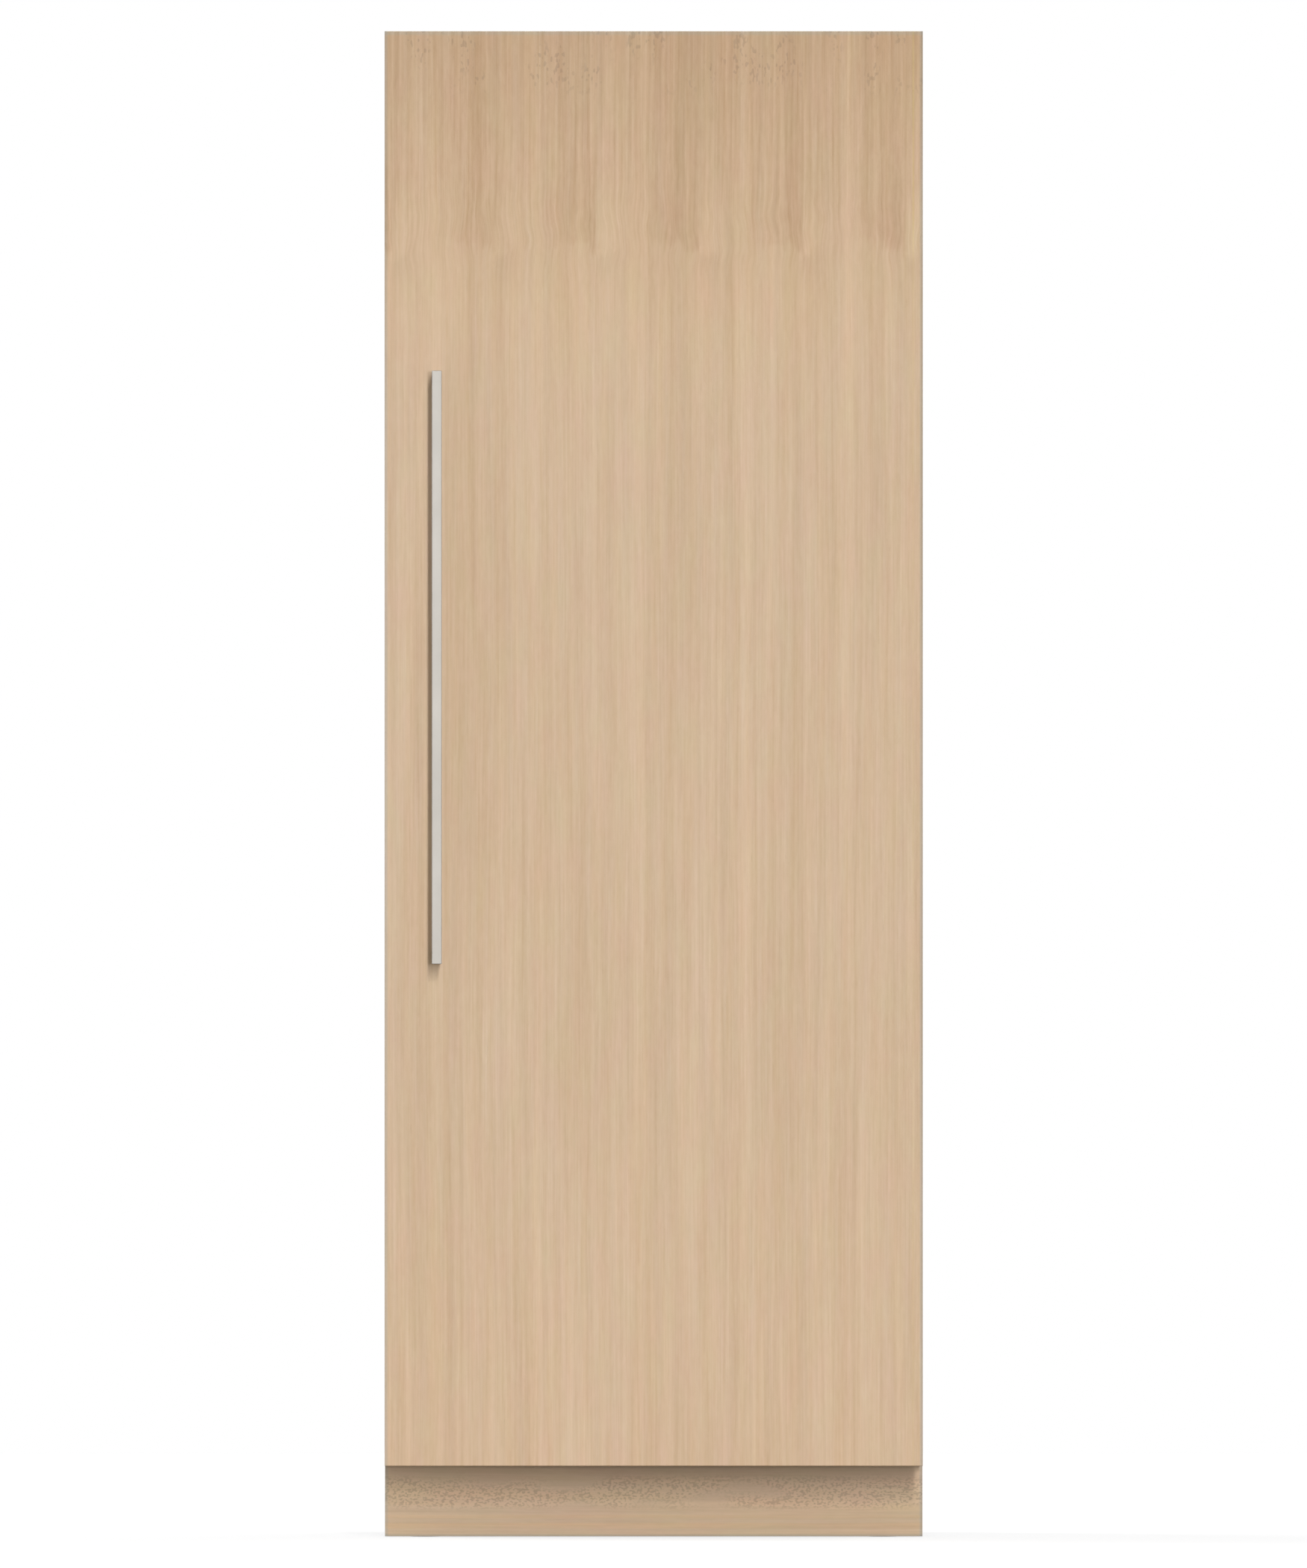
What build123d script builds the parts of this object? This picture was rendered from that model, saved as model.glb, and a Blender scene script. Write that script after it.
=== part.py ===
from build123d import *
from math import cos, radians, sin
import os

os.makedirs("parts", exist_ok=True)

# Built-in column refrigerator with a full-height wood front, hinged on the right.
# Millimetres. +Z up, the front faces -Y, origin on the floor under the middle of the
# overall box. F is the Y of the cabinet's front plane, where the door seal closes.

# ------------------------------------------------------------------ driving dimensions
WIDTH = 762.0  # wood front and plinth
HEIGHT = 2134.0  # floor to the top of the wood front
KICK_H = 102.0  # floor to the underside of the wood front
CAB_W = 756.0  # steel cabinet
CAB_D = 550.0
CAB_TOP = 2104.0
CAB_FOOT = 34.0  # lower edge of the cabinet sides behind the plinth recess
SHEET = 1.5  # steel sheet
LINER = 2.5  # plastic liner wall
WALL = 50.0  # insulated wall, sheet and liner included
GAP = 8.0  # door to cabinet, filled by the seal
DOOR_T = 52.0  # insulated door
PANEL_T = 19.0  # wood front
HANDLE_REACH = 46.0  # bar front to wood front
KICK_SET = 100.0  # plinth face behind the wood front

F = -(CAB_D - (GAP + DOOR_T + PANEL_T + HANDLE_REACH)) / 2  # cabinet front plane
CX = CAB_W / 2
DOOR_REAR = F - GAP
DOOR_FRONT = DOOR_REAR - DOOR_T
PANEL_FRONT = DOOR_FRONT - PANEL_T

# cabinet interior
CAV_X = CX - WALL  # half width
CAV_FLOOR, CAV_TOP = 155.0, 2049.0
CAV_BACK = F + CAB_D - WALL
HUMP_Y, HUMP_Z = F + 280.0, 380.0  # step over the compressor
ROOM_Y, ROOM_Z = F + 330.0, 330.0  # compressor compartment front wall and ceiling
LINER_R = 12.0
BACK = F + CAB_D - SHEET  # outer face of the back sheet, inside its rim
BEAD_X = (-264.0, -132.0, 0.0, 132.0, 264.0)  # beads pressed into it
BEAD_Z0, BEAD_Z1, BEAD_W, BEAD_D = 440.0, 1996.0, 26.0, 5.0

# door hinge axis
PIVOT_X = CX - 20.0
PIVOT_Y = F - 38.0
PIN_R = 6.0
DOOR_X = 372.0  # insulated door half width
DOOR_Z0, DOOR_Z1 = 112.0, 2098.0

# handle
HANDLE_X = -307.0
HANDLE_W, HANDLE_DEPTH = 14.0, 12.0
HANDLE_Z0, HANDLE_Z1 = 813.0, 1653.0
POST_H = 18.0

# shelves: ledges on the side ladders, and the ledge each shelf sits on
LEDGE_Z0, LEDGE_STEP, LEDGE_T, LEDGES = 680.0, 60.0, 5.0, 22
SHELF_ON = (4, 10, 16)

# duct panel and fans
DUCT_Y = F + 440.0
EVAP_FAN_Z = 760.0
COND_Y, COND_Z = F + 440.0, 178.0

# feet and wheels
FOOT_X, FOOT_Y = 325.0, F + 95.0
WHEEL_X, WHEEL_Y, WHEEL_R = 330.0, F + 500.0, 25.0
AXLE_R = 4.0

# drawers
DRAWER_X = 290.0
DRAWER_FRONT = F + 76.0


def block(x0, x1, y0, y1, z0, z1, mode=Mode.ADD):
    """A rectangular block between two corners, in the part being built."""
    with Locations(((x0 + x1) / 2, (y0 + y1) / 2, (z0 + z1) / 2)):
        Box(x1 - x0, y1 - y0, z1 - z0, mode=mode)


def rod(start, axis, length, radius, mode=Mode.ADD):
    """A cylinder from start along axis, in the part being built."""
    with BuildSketch(Plane(origin=start, z_dir=axis)) as disc:
        Circle(radius)
    extrude(disc.sketch, amount=length, mode=mode)


def profile(points, half_width, mode=Mode.ADD):
    """A (y, z) outline extruded to both sides of the middle plane."""
    with BuildSketch(Plane.YZ) as outline:
        with BuildLine():
            Polyline(*points, close=True)
        make_face()
    extrude(outline.sketch, amount=half_width, both=True, mode=mode)


def tube(points, radius, bend):
    """A round tube along straight runs joined by arcs."""
    with BuildLine() as run:
        FilletPolyline(*points, radius=bend)
    with BuildSketch(Plane(origin=run.line @ 0, z_dir=run.line % 0)) as bore:
        Circle(radius)
    sweep(bore.sketch, path=run.line)


def blade(centre, axis, angle, r0, r1, chord, pitch, thick):
    """One fan blade: a rounded paddle set at a pitch angle on its hub."""
    ax = Vector(*axis).normalized()
    u = Vector(0, 0, 1)
    v = ax.cross(u).normalized()
    radial = u * cos(radians(angle)) + v * sin(radians(angle))
    tangent = ax.cross(radial).normalized()
    along = tangent * cos(radians(pitch)) + ax * sin(radians(pitch))
    normal = radial.cross(along)
    with BuildSketch(Plane(origin=Vector(*centre), x_dir=radial, z_dir=normal)) as paddle:
        with BuildLine():
            Polyline(
                (r0, -chord * 0.36),
                (r0 + (r1 - r0) * 0.55, -chord * 0.55),
                (r1, -chord * 0.42),
                (r1 + 1.5, chord * 0.1),
                (r1 - 3, chord * 0.5),
                (r0 + (r1 - r0) * 0.4, chord * 0.46),
                (r0, chord * 0.3),
                close=True,
            )
        make_face()
    extrude(paddle.sketch, amount=thick / 2, both=True)


def bead(y0, y1, grow, mode):
    """The upright beads of the back sheet, between two Y planes."""
    with BuildSketch(Plane.XZ.offset(-y0)) as slots:
        for bx in BEAD_X:
            with Locations((bx, (BEAD_Z0 + BEAD_Z1) / 2)):
                SlotOverall(BEAD_Z1 - BEAD_Z0 + 2 * grow, BEAD_W + 2 * grow, rotation=90)
    extrude(slots.sketch, amount=y0 - y1, mode=mode)


def field(y, width, height, radius, mode):
    """The shallow field pressed into the door's liner behind the drawers, from y inwards."""
    with BuildSketch(Plane.XZ.offset(-y)) as shape:
        with Locations((0, 419)):
            RectangleRounded(width, height, radius)
    extrude(shape.sketch, amount=5, taper=35, mode=mode)


pieces = {}

# =============================================================== fixed cabinet
# screw positions shared by the plates and the sheets they hold
TOP_HINGE_SCREWS = [(318.0, F + 30), (318.0, F + 64), (358.0, F + 48)]
LOW_HINGE_SCREWS = [(331.0, 119.0), (358.0, 119.0)]
BRACKET_X = (-260.0, 220.0)
BRACKET_SCREWS = [(x + dx, F + 50) for x in BRACKET_X for dx in (-25.0, 25.0)]

with BuildPart() as outer_wrapper:
    profile(
        [
            (F + SHEET, KICK_H),
            (F + 45, KICK_H),
            (F + 45, CAB_FOOT),
            (F + CAB_D, CAB_FOOT),
            (F + CAB_D, CAB_TOP),
            (F + SHEET, CAB_TOP),
        ],
        CX,
    )
    block(-CX + SHEET, CX - SHEET, F, F + CAB_D + 5, 0, CAB_TOP - SHEET, Mode.SUBTRACT)
    for sx, sy in TOP_HINGE_SCREWS + BRACKET_SCREWS:
        rod((sx, sy, CAB_TOP - 5), (0, 0, 1), 10, 4.0, Mode.SUBTRACT)
pieces["outer_wrapper"] = outer_wrapper

with BuildPart() as back_panel:
    profile(
        [
            (F + SHEET, KICK_H),
            (ROOM_Y, KICK_H),
            (ROOM_Y, ROOM_Z),
            (BACK, ROOM_Z),
            (BACK, CAB_TOP - SHEET),
            (BACK - SHEET, CAB_TOP - SHEET),
            (BACK - SHEET, ROOM_Z + SHEET),
            (ROOM_Y - SHEET, ROOM_Z + SHEET),
            (ROOM_Y - SHEET, KICK_H + SHEET),
            (F + SHEET, KICK_H + SHEET),
        ],
        CX - SHEET,
    )
    # rim around the sheet, flush with the rear edges of the sides and top
    block(-CX + SHEET, CX - SHEET, BACK, F + CAB_D, CAB_TOP - 18, CAB_TOP - SHEET)
    for s in (-1, 1):
        lo, hi = sorted((s * (CX - SHEET), s * (CX - 18)))
        block(lo, hi, BACK, F + CAB_D, ROOM_Z, CAB_TOP - SHEET)
    # stiffening beads pressed into the back sheet
    bead(BACK - SHEET - BEAD_D, BACK - SHEET + 0.5, SHEET, Mode.ADD)
    bead(BACK - BEAD_D, BACK + 1, 0, Mode.SUBTRACT)
pieces["back_panel"] = back_panel

with BuildPart() as liner_outside:
    profile(
        [
            (F + SHEET, CAV_FLOOR - LINER),
            (HUMP_Y + LINER, CAV_FLOOR - LINER),
            (HUMP_Y + LINER, HUMP_Z - LINER),
            (CAV_BACK + LINER, HUMP_Z - LINER),
            (CAV_BACK + LINER, CAV_TOP + LINER),
            (F + SHEET, CAV_TOP + LINER),
        ],
        CAV_X + LINER,
    )
    fillet(
        [
            e
            for e in liner_outside.edges()
            if (e @ 0.5).Y > F + SHEET + 1 and abs((e @ 0.5).X) > CAV_X - 5
        ],
        LINER_R + LINER,
    )

with BuildPart() as liner_inside:
    profile(
        [
            (F - 5, CAV_FLOOR),
            (HUMP_Y, CAV_FLOOR),
            (HUMP_Y, HUMP_Z),
            (CAV_BACK, HUMP_Z),
            (CAV_BACK, CAV_TOP),
            (F - 5, CAV_TOP),
        ],
        CAV_X,
    )
    fillet(
        [
            e
            for e in liner_inside.edges()
            if (e @ 0.5).Y > F and abs((e @ 0.5).X) > CAV_X - 5
        ],
        LINER_R,
    )

with BuildPart() as foam_insulation:
    profile(
        [
            (F + SHEET, KICK_H + SHEET),
            (ROOM_Y - SHEET, KICK_H + SHEET),
            (ROOM_Y - SHEET, ROOM_Z + SHEET),
            (BACK - SHEET, ROOM_Z + SHEET),
            (BACK - SHEET, CAB_TOP - SHEET),
            (F + SHEET, CAB_TOP - SHEET),
        ],
        CX - SHEET,
    )
    bead(BACK - SHEET - BEAD_D, BACK, SHEET, Mode.SUBTRACT)
    add(liner_outside.part, mode=Mode.SUBTRACT)
    for sx, sy in TOP_HINGE_SCREWS + BRACKET_SCREWS:
        rod((sx, sy, CAB_TOP - 20), (0, 0, 1), 30, 4.0, Mode.SUBTRACT)
    for sx, sz in LOW_HINGE_SCREWS:
        rod((sx, F - 5, sz), (0, 1, 0), 30, 3.0, Mode.SUBTRACT)
pieces["foam_insulation"] = foam_insulation

with BuildPart() as inner_liner:
    add(liner_outside.part)
    add(liner_inside.part, mode=Mode.SUBTRACT)
pieces["inner_liner"] = inner_liner

with BuildPart() as front_frame:
    with BuildSketch(Plane(origin=(0, F + SHEET, 0), x_dir=(1, 0, 0), z_dir=(0, -1, 0))):
        with Locations((0, (KICK_H + CAB_TOP) / 2)):
            Rectangle(CAB_W, CAB_TOP - KICK_H)
        with Locations((0, (CAV_FLOOR + CAV_TOP) / 2)):
            RectangleRounded(2 * CAV_X, CAV_TOP - CAV_FLOOR, LINER_R, mode=Mode.SUBTRACT)
        with Locations(*LOW_HINGE_SCREWS):
            Circle(3.0, mode=Mode.SUBTRACT)
    extrude(amount=SHEET)
pieces["front_frame"] = front_frame

with BuildPart() as base_tray:
    tray_x = CX - 2.5
    block(-tray_x, tray_x, F + 40, F + 546, CAB_FOOT, CAB_FOOT + 2.5)
    block(-tray_x, tray_x, F + 40, F + 42.5, CAB_FOOT, 98)  # plinth is screwed to this
    for s in (-1, 1):
        lo, hi = sorted((s * tray_x, s * (tray_x - 2.5)))
        block(lo, hi, F + 47, F + 546, CAB_FOOT, 62)
        wx = s * WHEEL_X
        block(wx - 15.5, wx + 15.5, WHEEL_Y - 30, WHEEL_Y + 30, 30, 40, Mode.SUBTRACT)
        for side in (-1, 1):
            lo, hi = sorted((wx + side * 15.5, wx + side * 18.5))
            with BuildSketch(Plane.YZ.offset(lo)):
                with BuildLine():
                    Polyline(
                        (WHEEL_Y - 22, CAB_FOOT),
                        (WHEEL_Y - 9, 15),
                        (WHEEL_Y + 9, 15),
                        (WHEEL_Y + 22, CAB_FOOT),
                        close=True,
                    )
                make_face()
            extrude(amount=3.0)
        rod((s * FOOT_X, FOOT_Y, CAB_FOOT), (0, 0, 1), 18, 13)  # nut for the foot
        rod((s * FOOT_X, FOOT_Y, CAB_FOOT - 5), (0, 0, 1), 40, 6.1, Mode.SUBTRACT)
    rod((-360, WHEEL_Y, WHEEL_R), (1, 0, 0), 720, AXLE_R + 0.05, Mode.SUBTRACT)
pieces["base_tray"] = base_tray

with BuildPart() as kick_panel:
    block(-WIDTH / 2, WIDTH / 2, PANEL_FRONT + KICK_SET, F + 40, 1, KICK_H - 0.2)
    fillet(kick_panel.faces().sort_by(Axis.Y)[0].edges(), 0.8)
pieces["kick_panel"] = kick_panel

with BuildPart() as fixing_brackets:
    for bx in BRACKET_X:
        block(bx - 42, bx + 42, F + 20, F + 70, CAB_TOP, CAB_TOP + 3)
        block(bx - 42, bx + 42, F + 17, F + 20, CAB_TOP, 2132)
        block(bx - 42, bx + 42, F - 15, F + 20, 2129, 2132)
        with Locations((bx - 25, F - 2, 2130.5), (bx + 25, F - 2, 2130.5)):
            Cylinder(2.75, 10, mode=Mode.SUBTRACT)
    for sx, sy in BRACKET_SCREWS:
        rod((sx, sy, CAB_TOP - 5), (0, 0, 1), 10, 4.05, Mode.SUBTRACT)
pieces["fixing_brackets"] = fixing_brackets

with BuildPart() as top_hinge_plate:
    with BuildSketch(Plane.XY.offset(CAB_TOP)):
        with BuildLine():
            Polyline(
                (PIVOT_X - 16, PIVOT_Y),
                (PIVOT_X + 8, PIVOT_Y),
                (PIVOT_X + 8, F + 2),
                (CX - 2, F + 8),
                (CX - 2, F + 80),
                (300, F + 80),
                (300, F + 8),
                (PIVOT_X - 16, F - 8),
                close=True,
            )
        make_face()
        with Locations((PIVOT_X, PIVOT_Y)):
            Circle(16)
            Circle(PIN_R + 0.05, mode=Mode.SUBTRACT)
        with Locations(*TOP_HINGE_SCREWS):
            Circle(4.05, mode=Mode.SUBTRACT)
    extrude(amount=6)
    chamfer(top_hinge_plate.faces().sort_by(Axis.Z)[-1].outer_wire().edges(), 0.8)
pieces["top_hinge_plate"] = top_hinge_plate

with BuildPart() as bottom_hinge_plate:
    with BuildSketch(Plane.XY.offset(KICK_H)):
        with BuildLine():
            Polyline(
                (PIVOT_X - 16, PIVOT_Y),
                (PIVOT_X + 8, PIVOT_Y),
                (PIVOT_X + 8, F),
                (PIVOT_X - 34, F),
                (PIVOT_X - 34, F - 6),
                close=True,
            )
        make_face()
        with Locations((PIVOT_X, PIVOT_Y)):
            Circle(16)
            Circle(PIN_R + 0.05, mode=Mode.SUBTRACT)
    extrude(amount=5)
    block(322, CX - 10, F - 5, F, KICK_H, 128)
    for sx, sz in LOW_HINGE_SCREWS:
        rod((sx, F - 6, sz), (0, 1, 0), 10, 3.05, Mode.SUBTRACT)
        with BuildSketch(Plane(origin=(sx, F - 5, sz), z_dir=(0, 1, 0))):
            Circle(6.1)
        extrude(amount=3.1, taper=45, mode=Mode.SUBTRACT)
pieces["bottom_hinge_plate"] = bottom_hinge_plate

with BuildPart() as hinge_pins:
    rod((PIVOT_X, PIVOT_Y, 2068), (0, 0, 1), CAB_TOP + 6 - 2068, PIN_R)
    rod((PIVOT_X, PIVOT_Y, CAB_TOP + 6), (0, 0, 1), 3, 10)
    rod((PIVOT_X, PIVOT_Y, KICK_H), (0, 0, 1), 40, PIN_R)
    rod((PIVOT_X, PIVOT_Y, KICK_H + 5), (0, 0, 1), 2.9, 11)
pieces["hinge_pins"] = hinge_pins

with BuildPart() as cabinet_screws:
    for (sx, sy), base in [(p, CAB_TOP + 6) for p in TOP_HINGE_SCREWS] + [
        (p, CAB_TOP + 3) for p in BRACKET_SCREWS
    ]:
        rod((sx, sy, CAB_TOP - 18), (0, 0, 1), base - CAB_TOP + 18, 3.95)
        rod((sx, sy, base), (0, 0, 1), 4, 7)
        with BuildSketch(Plane.XY.offset(base + 4)):
            with Locations((sx, sy)):
                RegularPolygon(2.5, 6)
        extrude(amount=-2.5, mode=Mode.SUBTRACT)
    for sx, sz in LOW_HINGE_SCREWS:
        rod((sx, F - 3, sz), (0, 1, 0), 25, 2.95)
        with BuildSketch(Plane(origin=(sx, F - 5, sz), z_dir=(0, 1, 0))):
            Circle(6.0)
        extrude(amount=3.0, taper=45)
        with BuildSketch(Plane(origin=(sx, F - 5, sz), z_dir=(0, 1, 0))):
            RegularPolygon(2.0, 6)
        extrude(amount=1.8, mode=Mode.SUBTRACT)
pieces["cabinet_screws"] = cabinet_screws

with BuildPart() as rear_axle:
    rod((-354, WHEEL_Y, WHEEL_R), (1, 0, 0), 708, AXLE_R)
    for s in (-1, 1):
        rod((s * 349, WHEEL_Y, WHEEL_R), (s, 0, 0), 2.0, 6.5)
pieces["rear_axle"] = rear_axle

# --------------------------------------------------------------- compressor compartment
COMP_X, COMP_Y = 78.0, F + 438.0
with BuildPart() as compressor:
    with BuildSketch(Plane.YZ.offset(COMP_X)):
        with BuildLine():
            Polyline(
                (COMP_Y, 50),
                (COMP_Y + 58, 50),
                (COMP_Y + 76, 64),
                (COMP_Y + 82, 84),
                (COMP_Y + 82, 138),
                (COMP_Y + 87, 138),
                (COMP_Y + 87, 143),
                (COMP_Y + 82, 143),
                (COMP_Y + 82, 196),
                (COMP_Y + 66, 222),
                (COMP_Y + 40, 236),
                (COMP_Y, 240),
                close=True,
            )
        make_face()
    revolve(axis=Axis((COMP_X, COMP_Y, 0), (0, 0, 1)))
    with BuildSketch(Plane.XY.offset(48.5)):
        with Locations((COMP_X, COMP_Y)):
            RectangleRounded(212, 150, 14)
    extrude(amount=3)
    for dx in (-88, 88):
        for dy in (-58, 58):
            rod((COMP_X + dx, COMP_Y + dy, 45), (0, 0, 1), 10, 5.2, Mode.SUBTRACT)
    block(COMP_X + 60, COMP_X + 112, COMP_Y - 26, COMP_Y + 26, 96, 130)  # terminal box
    rod((COMP_X - 50, COMP_Y - 40, 160), (-1, 0, 0), 48, 7)  # discharge stub
    rod((COMP_X + 30, COMP_Y - 50, 180), (0, -1, 0), 40, 7)  # suction stub
pieces["compressor"] = compressor

with BuildPart() as compressor_mounts:
    for dx in (-88, 88):
        for dy in (-58, 58):
            with BuildSketch(Plane.XZ.offset(-(COMP_Y + dy))):
                with BuildLine():
                    Polyline(
                        (COMP_X + dx, CAB_FOOT + 2.5),
                        (COMP_X + dx + 13, CAB_FOOT + 2.5),
                        (COMP_X + dx + 13, CAB_FOOT + 6),
                        (COMP_X + dx + 9, CAB_FOOT + 8.5),
                        (COMP_X + dx + 12, CAB_FOOT + 11),
                        (COMP_X + dx + 12, 48.5),
                        (COMP_X + dx + 5, 48.5),
                        (COMP_X + dx + 5, 54),
                        (COMP_X + dx + 9, 54),
                        (COMP_X + dx + 7, 58),
                        (COMP_X + dx, 58),
                        close=True,
                    )
                make_face()
            revolve(axis=Axis((COMP_X + dx, COMP_Y + dy, 0), (0, 0, 1)))
pieces["compressor_mounts"] = compressor_mounts

COIL_X = (-345.0, -240.0)
COIL_Y = (F + 352.0, F + 528.0)
with BuildPart() as condenser_coil:
    for i in range(20):
        y = COIL_Y[0] + 8 + i * (COIL_Y[1] - COIL_Y[0] - 16) / 19
        block(COIL_X[0], COIL_X[1], y - 0.4, y + 0.4, 58, 300)
    for x in (-322.0, -292.0, -262.0):
        points = []
        for k in range(8):
            z = 74 + 30 * k
            ends = (COIL_Y[0] - 6, COIL_Y[1] + 4)
            points += [(x, y, z) for y in (ends if k % 2 == 0 else ends[::-1])]
        tube(points, 3.5, 13)
    for z in (54, 300):  # end plates
        block(COIL_X[0] - 3, COIL_X[1] + 3, COIL_Y[0], COIL_Y[1], z, z + 4)
    block(COIL_X[0] + 8, COIL_X[0] + 28, COIL_Y[0], WHEEL_Y - 32, CAB_FOOT + 2.5, 55)
    block(COIL_X[1] - 28, COIL_X[1] - 8, COIL_Y[0], COIL_Y[1], CAB_FOOT + 2.5, 55)
pieces["condenser_coil"] = condenser_coil

FAN_X = -204.0  # downstream face of the shroud plate
with BuildPart() as condenser_fan_shroud:
    block(FAN_X - 3, FAN_X, F + 345, F + 535, CAB_FOOT + 2.5, 318)
    rod((FAN_X, COND_Y, COND_Z), (1, 0, 0), 28, 88)
    rod((FAN_X - 5, COND_Y, COND_Z), (1, 0, 0), 40, 84.5, Mode.SUBTRACT)
    for a in (90, 210, 330):
        r = Vector(0, cos(radians(a)), sin(radians(a)))
        with BuildSketch(
            Plane(origin=Vector(FAN_X - 3, COND_Y, COND_Z), x_dir=r, z_dir=(1, 0, 0))
        ):
            with Locations((52, 0)):
                Rectangle(72, 8)
        extrude(amount=4)
    rod((FAN_X - 28, COND_Y, COND_Z), (1, 0, 0), 29, 24)  # motor
    rod((FAN_X, COND_Y, COND_Z), (1, 0, 0), 26, 3)  # motor shaft
pieces["condenser_fan_shroud"] = condenser_fan_shroud

with BuildPart() as condenser_fan:
    rod((FAN_X + 2, COND_Y, COND_Z), (1, 0, 0), 22, 25)
    for k in range(5):
        blade((FAN_X + 13, COND_Y, COND_Z), (1, 0, 0), 72 * k, 20, 79, 46, 24, 2.2)
    rod((FAN_X, COND_Y, COND_Z), (1, 0, 0), 40, 3.06, Mode.SUBTRACT)
    fillet(
        condenser_fan.faces().filter_by(Axis.X).sort_by(Axis.X)[-1].outer_wire().edges(), 2
    )
pieces["condenser_fan"] = condenser_fan

with BuildPart() as refrigerant_pipes:
    # discharge line to the top of the condenser
    tube(
        [
            (COMP_X - 98, COMP_Y - 40, 160),
            (-60, COMP_Y - 40, 160),
            (-60, COMP_Y - 40, 323),
            (-322, COMP_Y - 40, 323),
            (-322, COMP_Y - 40, 304),
        ],
        3.5,
        8,
    )
    # liquid line, filter drier and capillary
    tube(
        [
            (-292, COMP_Y + 40, 304),
            (-292, COMP_Y + 40, 323),
            (-130, COMP_Y + 40, 323),
            (-130, COMP_Y + 40, 270),
        ],
        3,
        8,
    )
    with BuildSketch(Plane.XZ.offset(-(COMP_Y + 40))):
        with BuildLine():
            Polyline(
                (-130, 270),
                (-126, 270),
                (-119, 256),
                (-119, 166),
                (-126, 152),
                (-130, 152),
                close=True,
            )
        make_face()
    revolve(axis=Axis((-130, COMP_Y + 40, 0), (0, 0, 1)))
    tube(
        [
            (-130, COMP_Y + 40, 152),
            (-130, COMP_Y + 40, 125),
            (-90, COMP_Y + 40, 125),
            (-90, COMP_Y + 40, ROOM_Z),
        ],
        1.5,
        10,
    )
    # suction line down from the cold compartment
    tube(
        [
            (COMP_X + 30, COMP_Y - 90, 180),
            (COMP_X + 30, COMP_Y - 100, 180),
            (COMP_X + 110, COMP_Y - 100, 180),
            (COMP_X + 110, COMP_Y - 100, ROOM_Z),
        ],
        4.5,
        9,
    )
pieces["refrigerant_pipes"] = refrigerant_pipes

with BuildPart() as drain_pan:
    block(-168, -48, F + 350, F + 530, CAB_FOOT + 2.5, 74)
    fillet(drain_pan.edges().filter_by(Axis.Z), 10)
    with BuildSketch(Plane.XY.offset(39)):
        with Locations((-108, F + 440)):
            RectangleRounded(115, 175, 7.5)
    extrude(amount=40, mode=Mode.SUBTRACT)
pieces["drain_pan"] = drain_pan

with BuildPart() as control_box:
    block(228, 362, ROOM_Y, ROOM_Y + 46, 92, 262)
    fillet(control_box.faces().sort_by(Axis.Y)[-1].edges(), 4)
    with Locations(*[(252 + 17.2 * i, ROOM_Y + 46, 240) for i in range(6)]):
        Box(6, 3, 26, mode=Mode.SUBTRACT)
    with BuildSketch(Plane(origin=(295, ROOM_Y + 46, 150), x_dir=(-1, 0, 0), z_dir=(0, 1, 0))):
        RectangleRounded(96, 80, 4)
    extrude(amount=1.2)
    rod((246, ROOM_Y + 24, 92), (0, 0, -1), 9, 9)  # cable gland
pieces["control_box"] = control_box

with BuildPart() as power_inlet:
    ix, iz = 316.0, 88.0
    block(ix - 24, ix + 24, F + 519, F + 547, iz - 13.5, iz + 13.5)
    block(ix - 31, ix + 31, F + 547, F + 549.5, iz - 17, iz + 17)
    fillet(power_inlet.faces().sort_by(Axis.Y)[-1].edges(), 1.2)
    with BuildSketch(Plane(origin=(ix, F + 549.5, iz), x_dir=(-1, 0, 0), z_dir=(0, 1, 0))):
        with BuildLine():
            Polyline(
                (-11.5, 8.2), (11.5, 8.2), (11.5, -3), (6.6, -8.2), (-6.6, -8.2), (-11.5, -3), close=True
            )
        make_face()
    extrude(amount=-17, mode=Mode.SUBTRACT)
    for dx, dz in ((-7, -1.6), (0, 2.4), (7, -1.6)):
        block(ix + dx - 1, ix + dx + 1, F + 530, F + 547, iz + dz - 2.2, iz + dz + 2.2)
pieces["power_inlet"] = power_inlet

with BuildPart() as machine_cover:
    block(-374, 374, F + 545.5, F + 547, 64, 328)
    block(-374, 374, F + 536, F + 545.5, 326.5, 328)  # folded top edge
    with BuildSketch(Plane(origin=(0, F + 547, 0), x_dir=(-1, 0, 0), z_dir=(0, 1, 0))):
        with Locations((262, 196), (-150, 196)):  # in over the coil, out past the compressor
            with GridLocations(76, 17, 2, 8):
                SlotOverall(62, 6)
    extrude(amount=-3, mode=Mode.SUBTRACT)
    block(ix - 24.2, ix + 24.2, F + 540, F + 550, iz - 13.7, iz + 13.7, Mode.SUBTRACT)
    with Locations(*[(x, F + 546, z) for x in (-364, 0, 364) for z in (74, 318)]):
        Cylinder(2.2, 6, rotation=(90, 0, 0), mode=Mode.SUBTRACT)
pieces["machine_cover"] = machine_cover

# --------------------------------------------------------------- cold air side
with BuildPart() as evaporator_coil:
    for i in range(25):
        x = -204 + 17.0 * i
        block(x - 0.4, x + 0.4, F + 452, F + 494, 400, 560)
    for y in (F + 464.0, F + 482.0):
        points = []
        for k in range(5):
            z = 416 + 32 * k
            ends = (-222, 222)
            points += [(x, y, z) for x in (ends if k % 2 == 0 else ends[::-1])]
        tube(points, 4, 14)
    block(-214, -211, F + 450, CAV_BACK, 394, 566)
    block(211, 214, F + 450, CAV_BACK, 394, 566)
pieces["evaporator_coil"] = evaporator_coil

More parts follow.
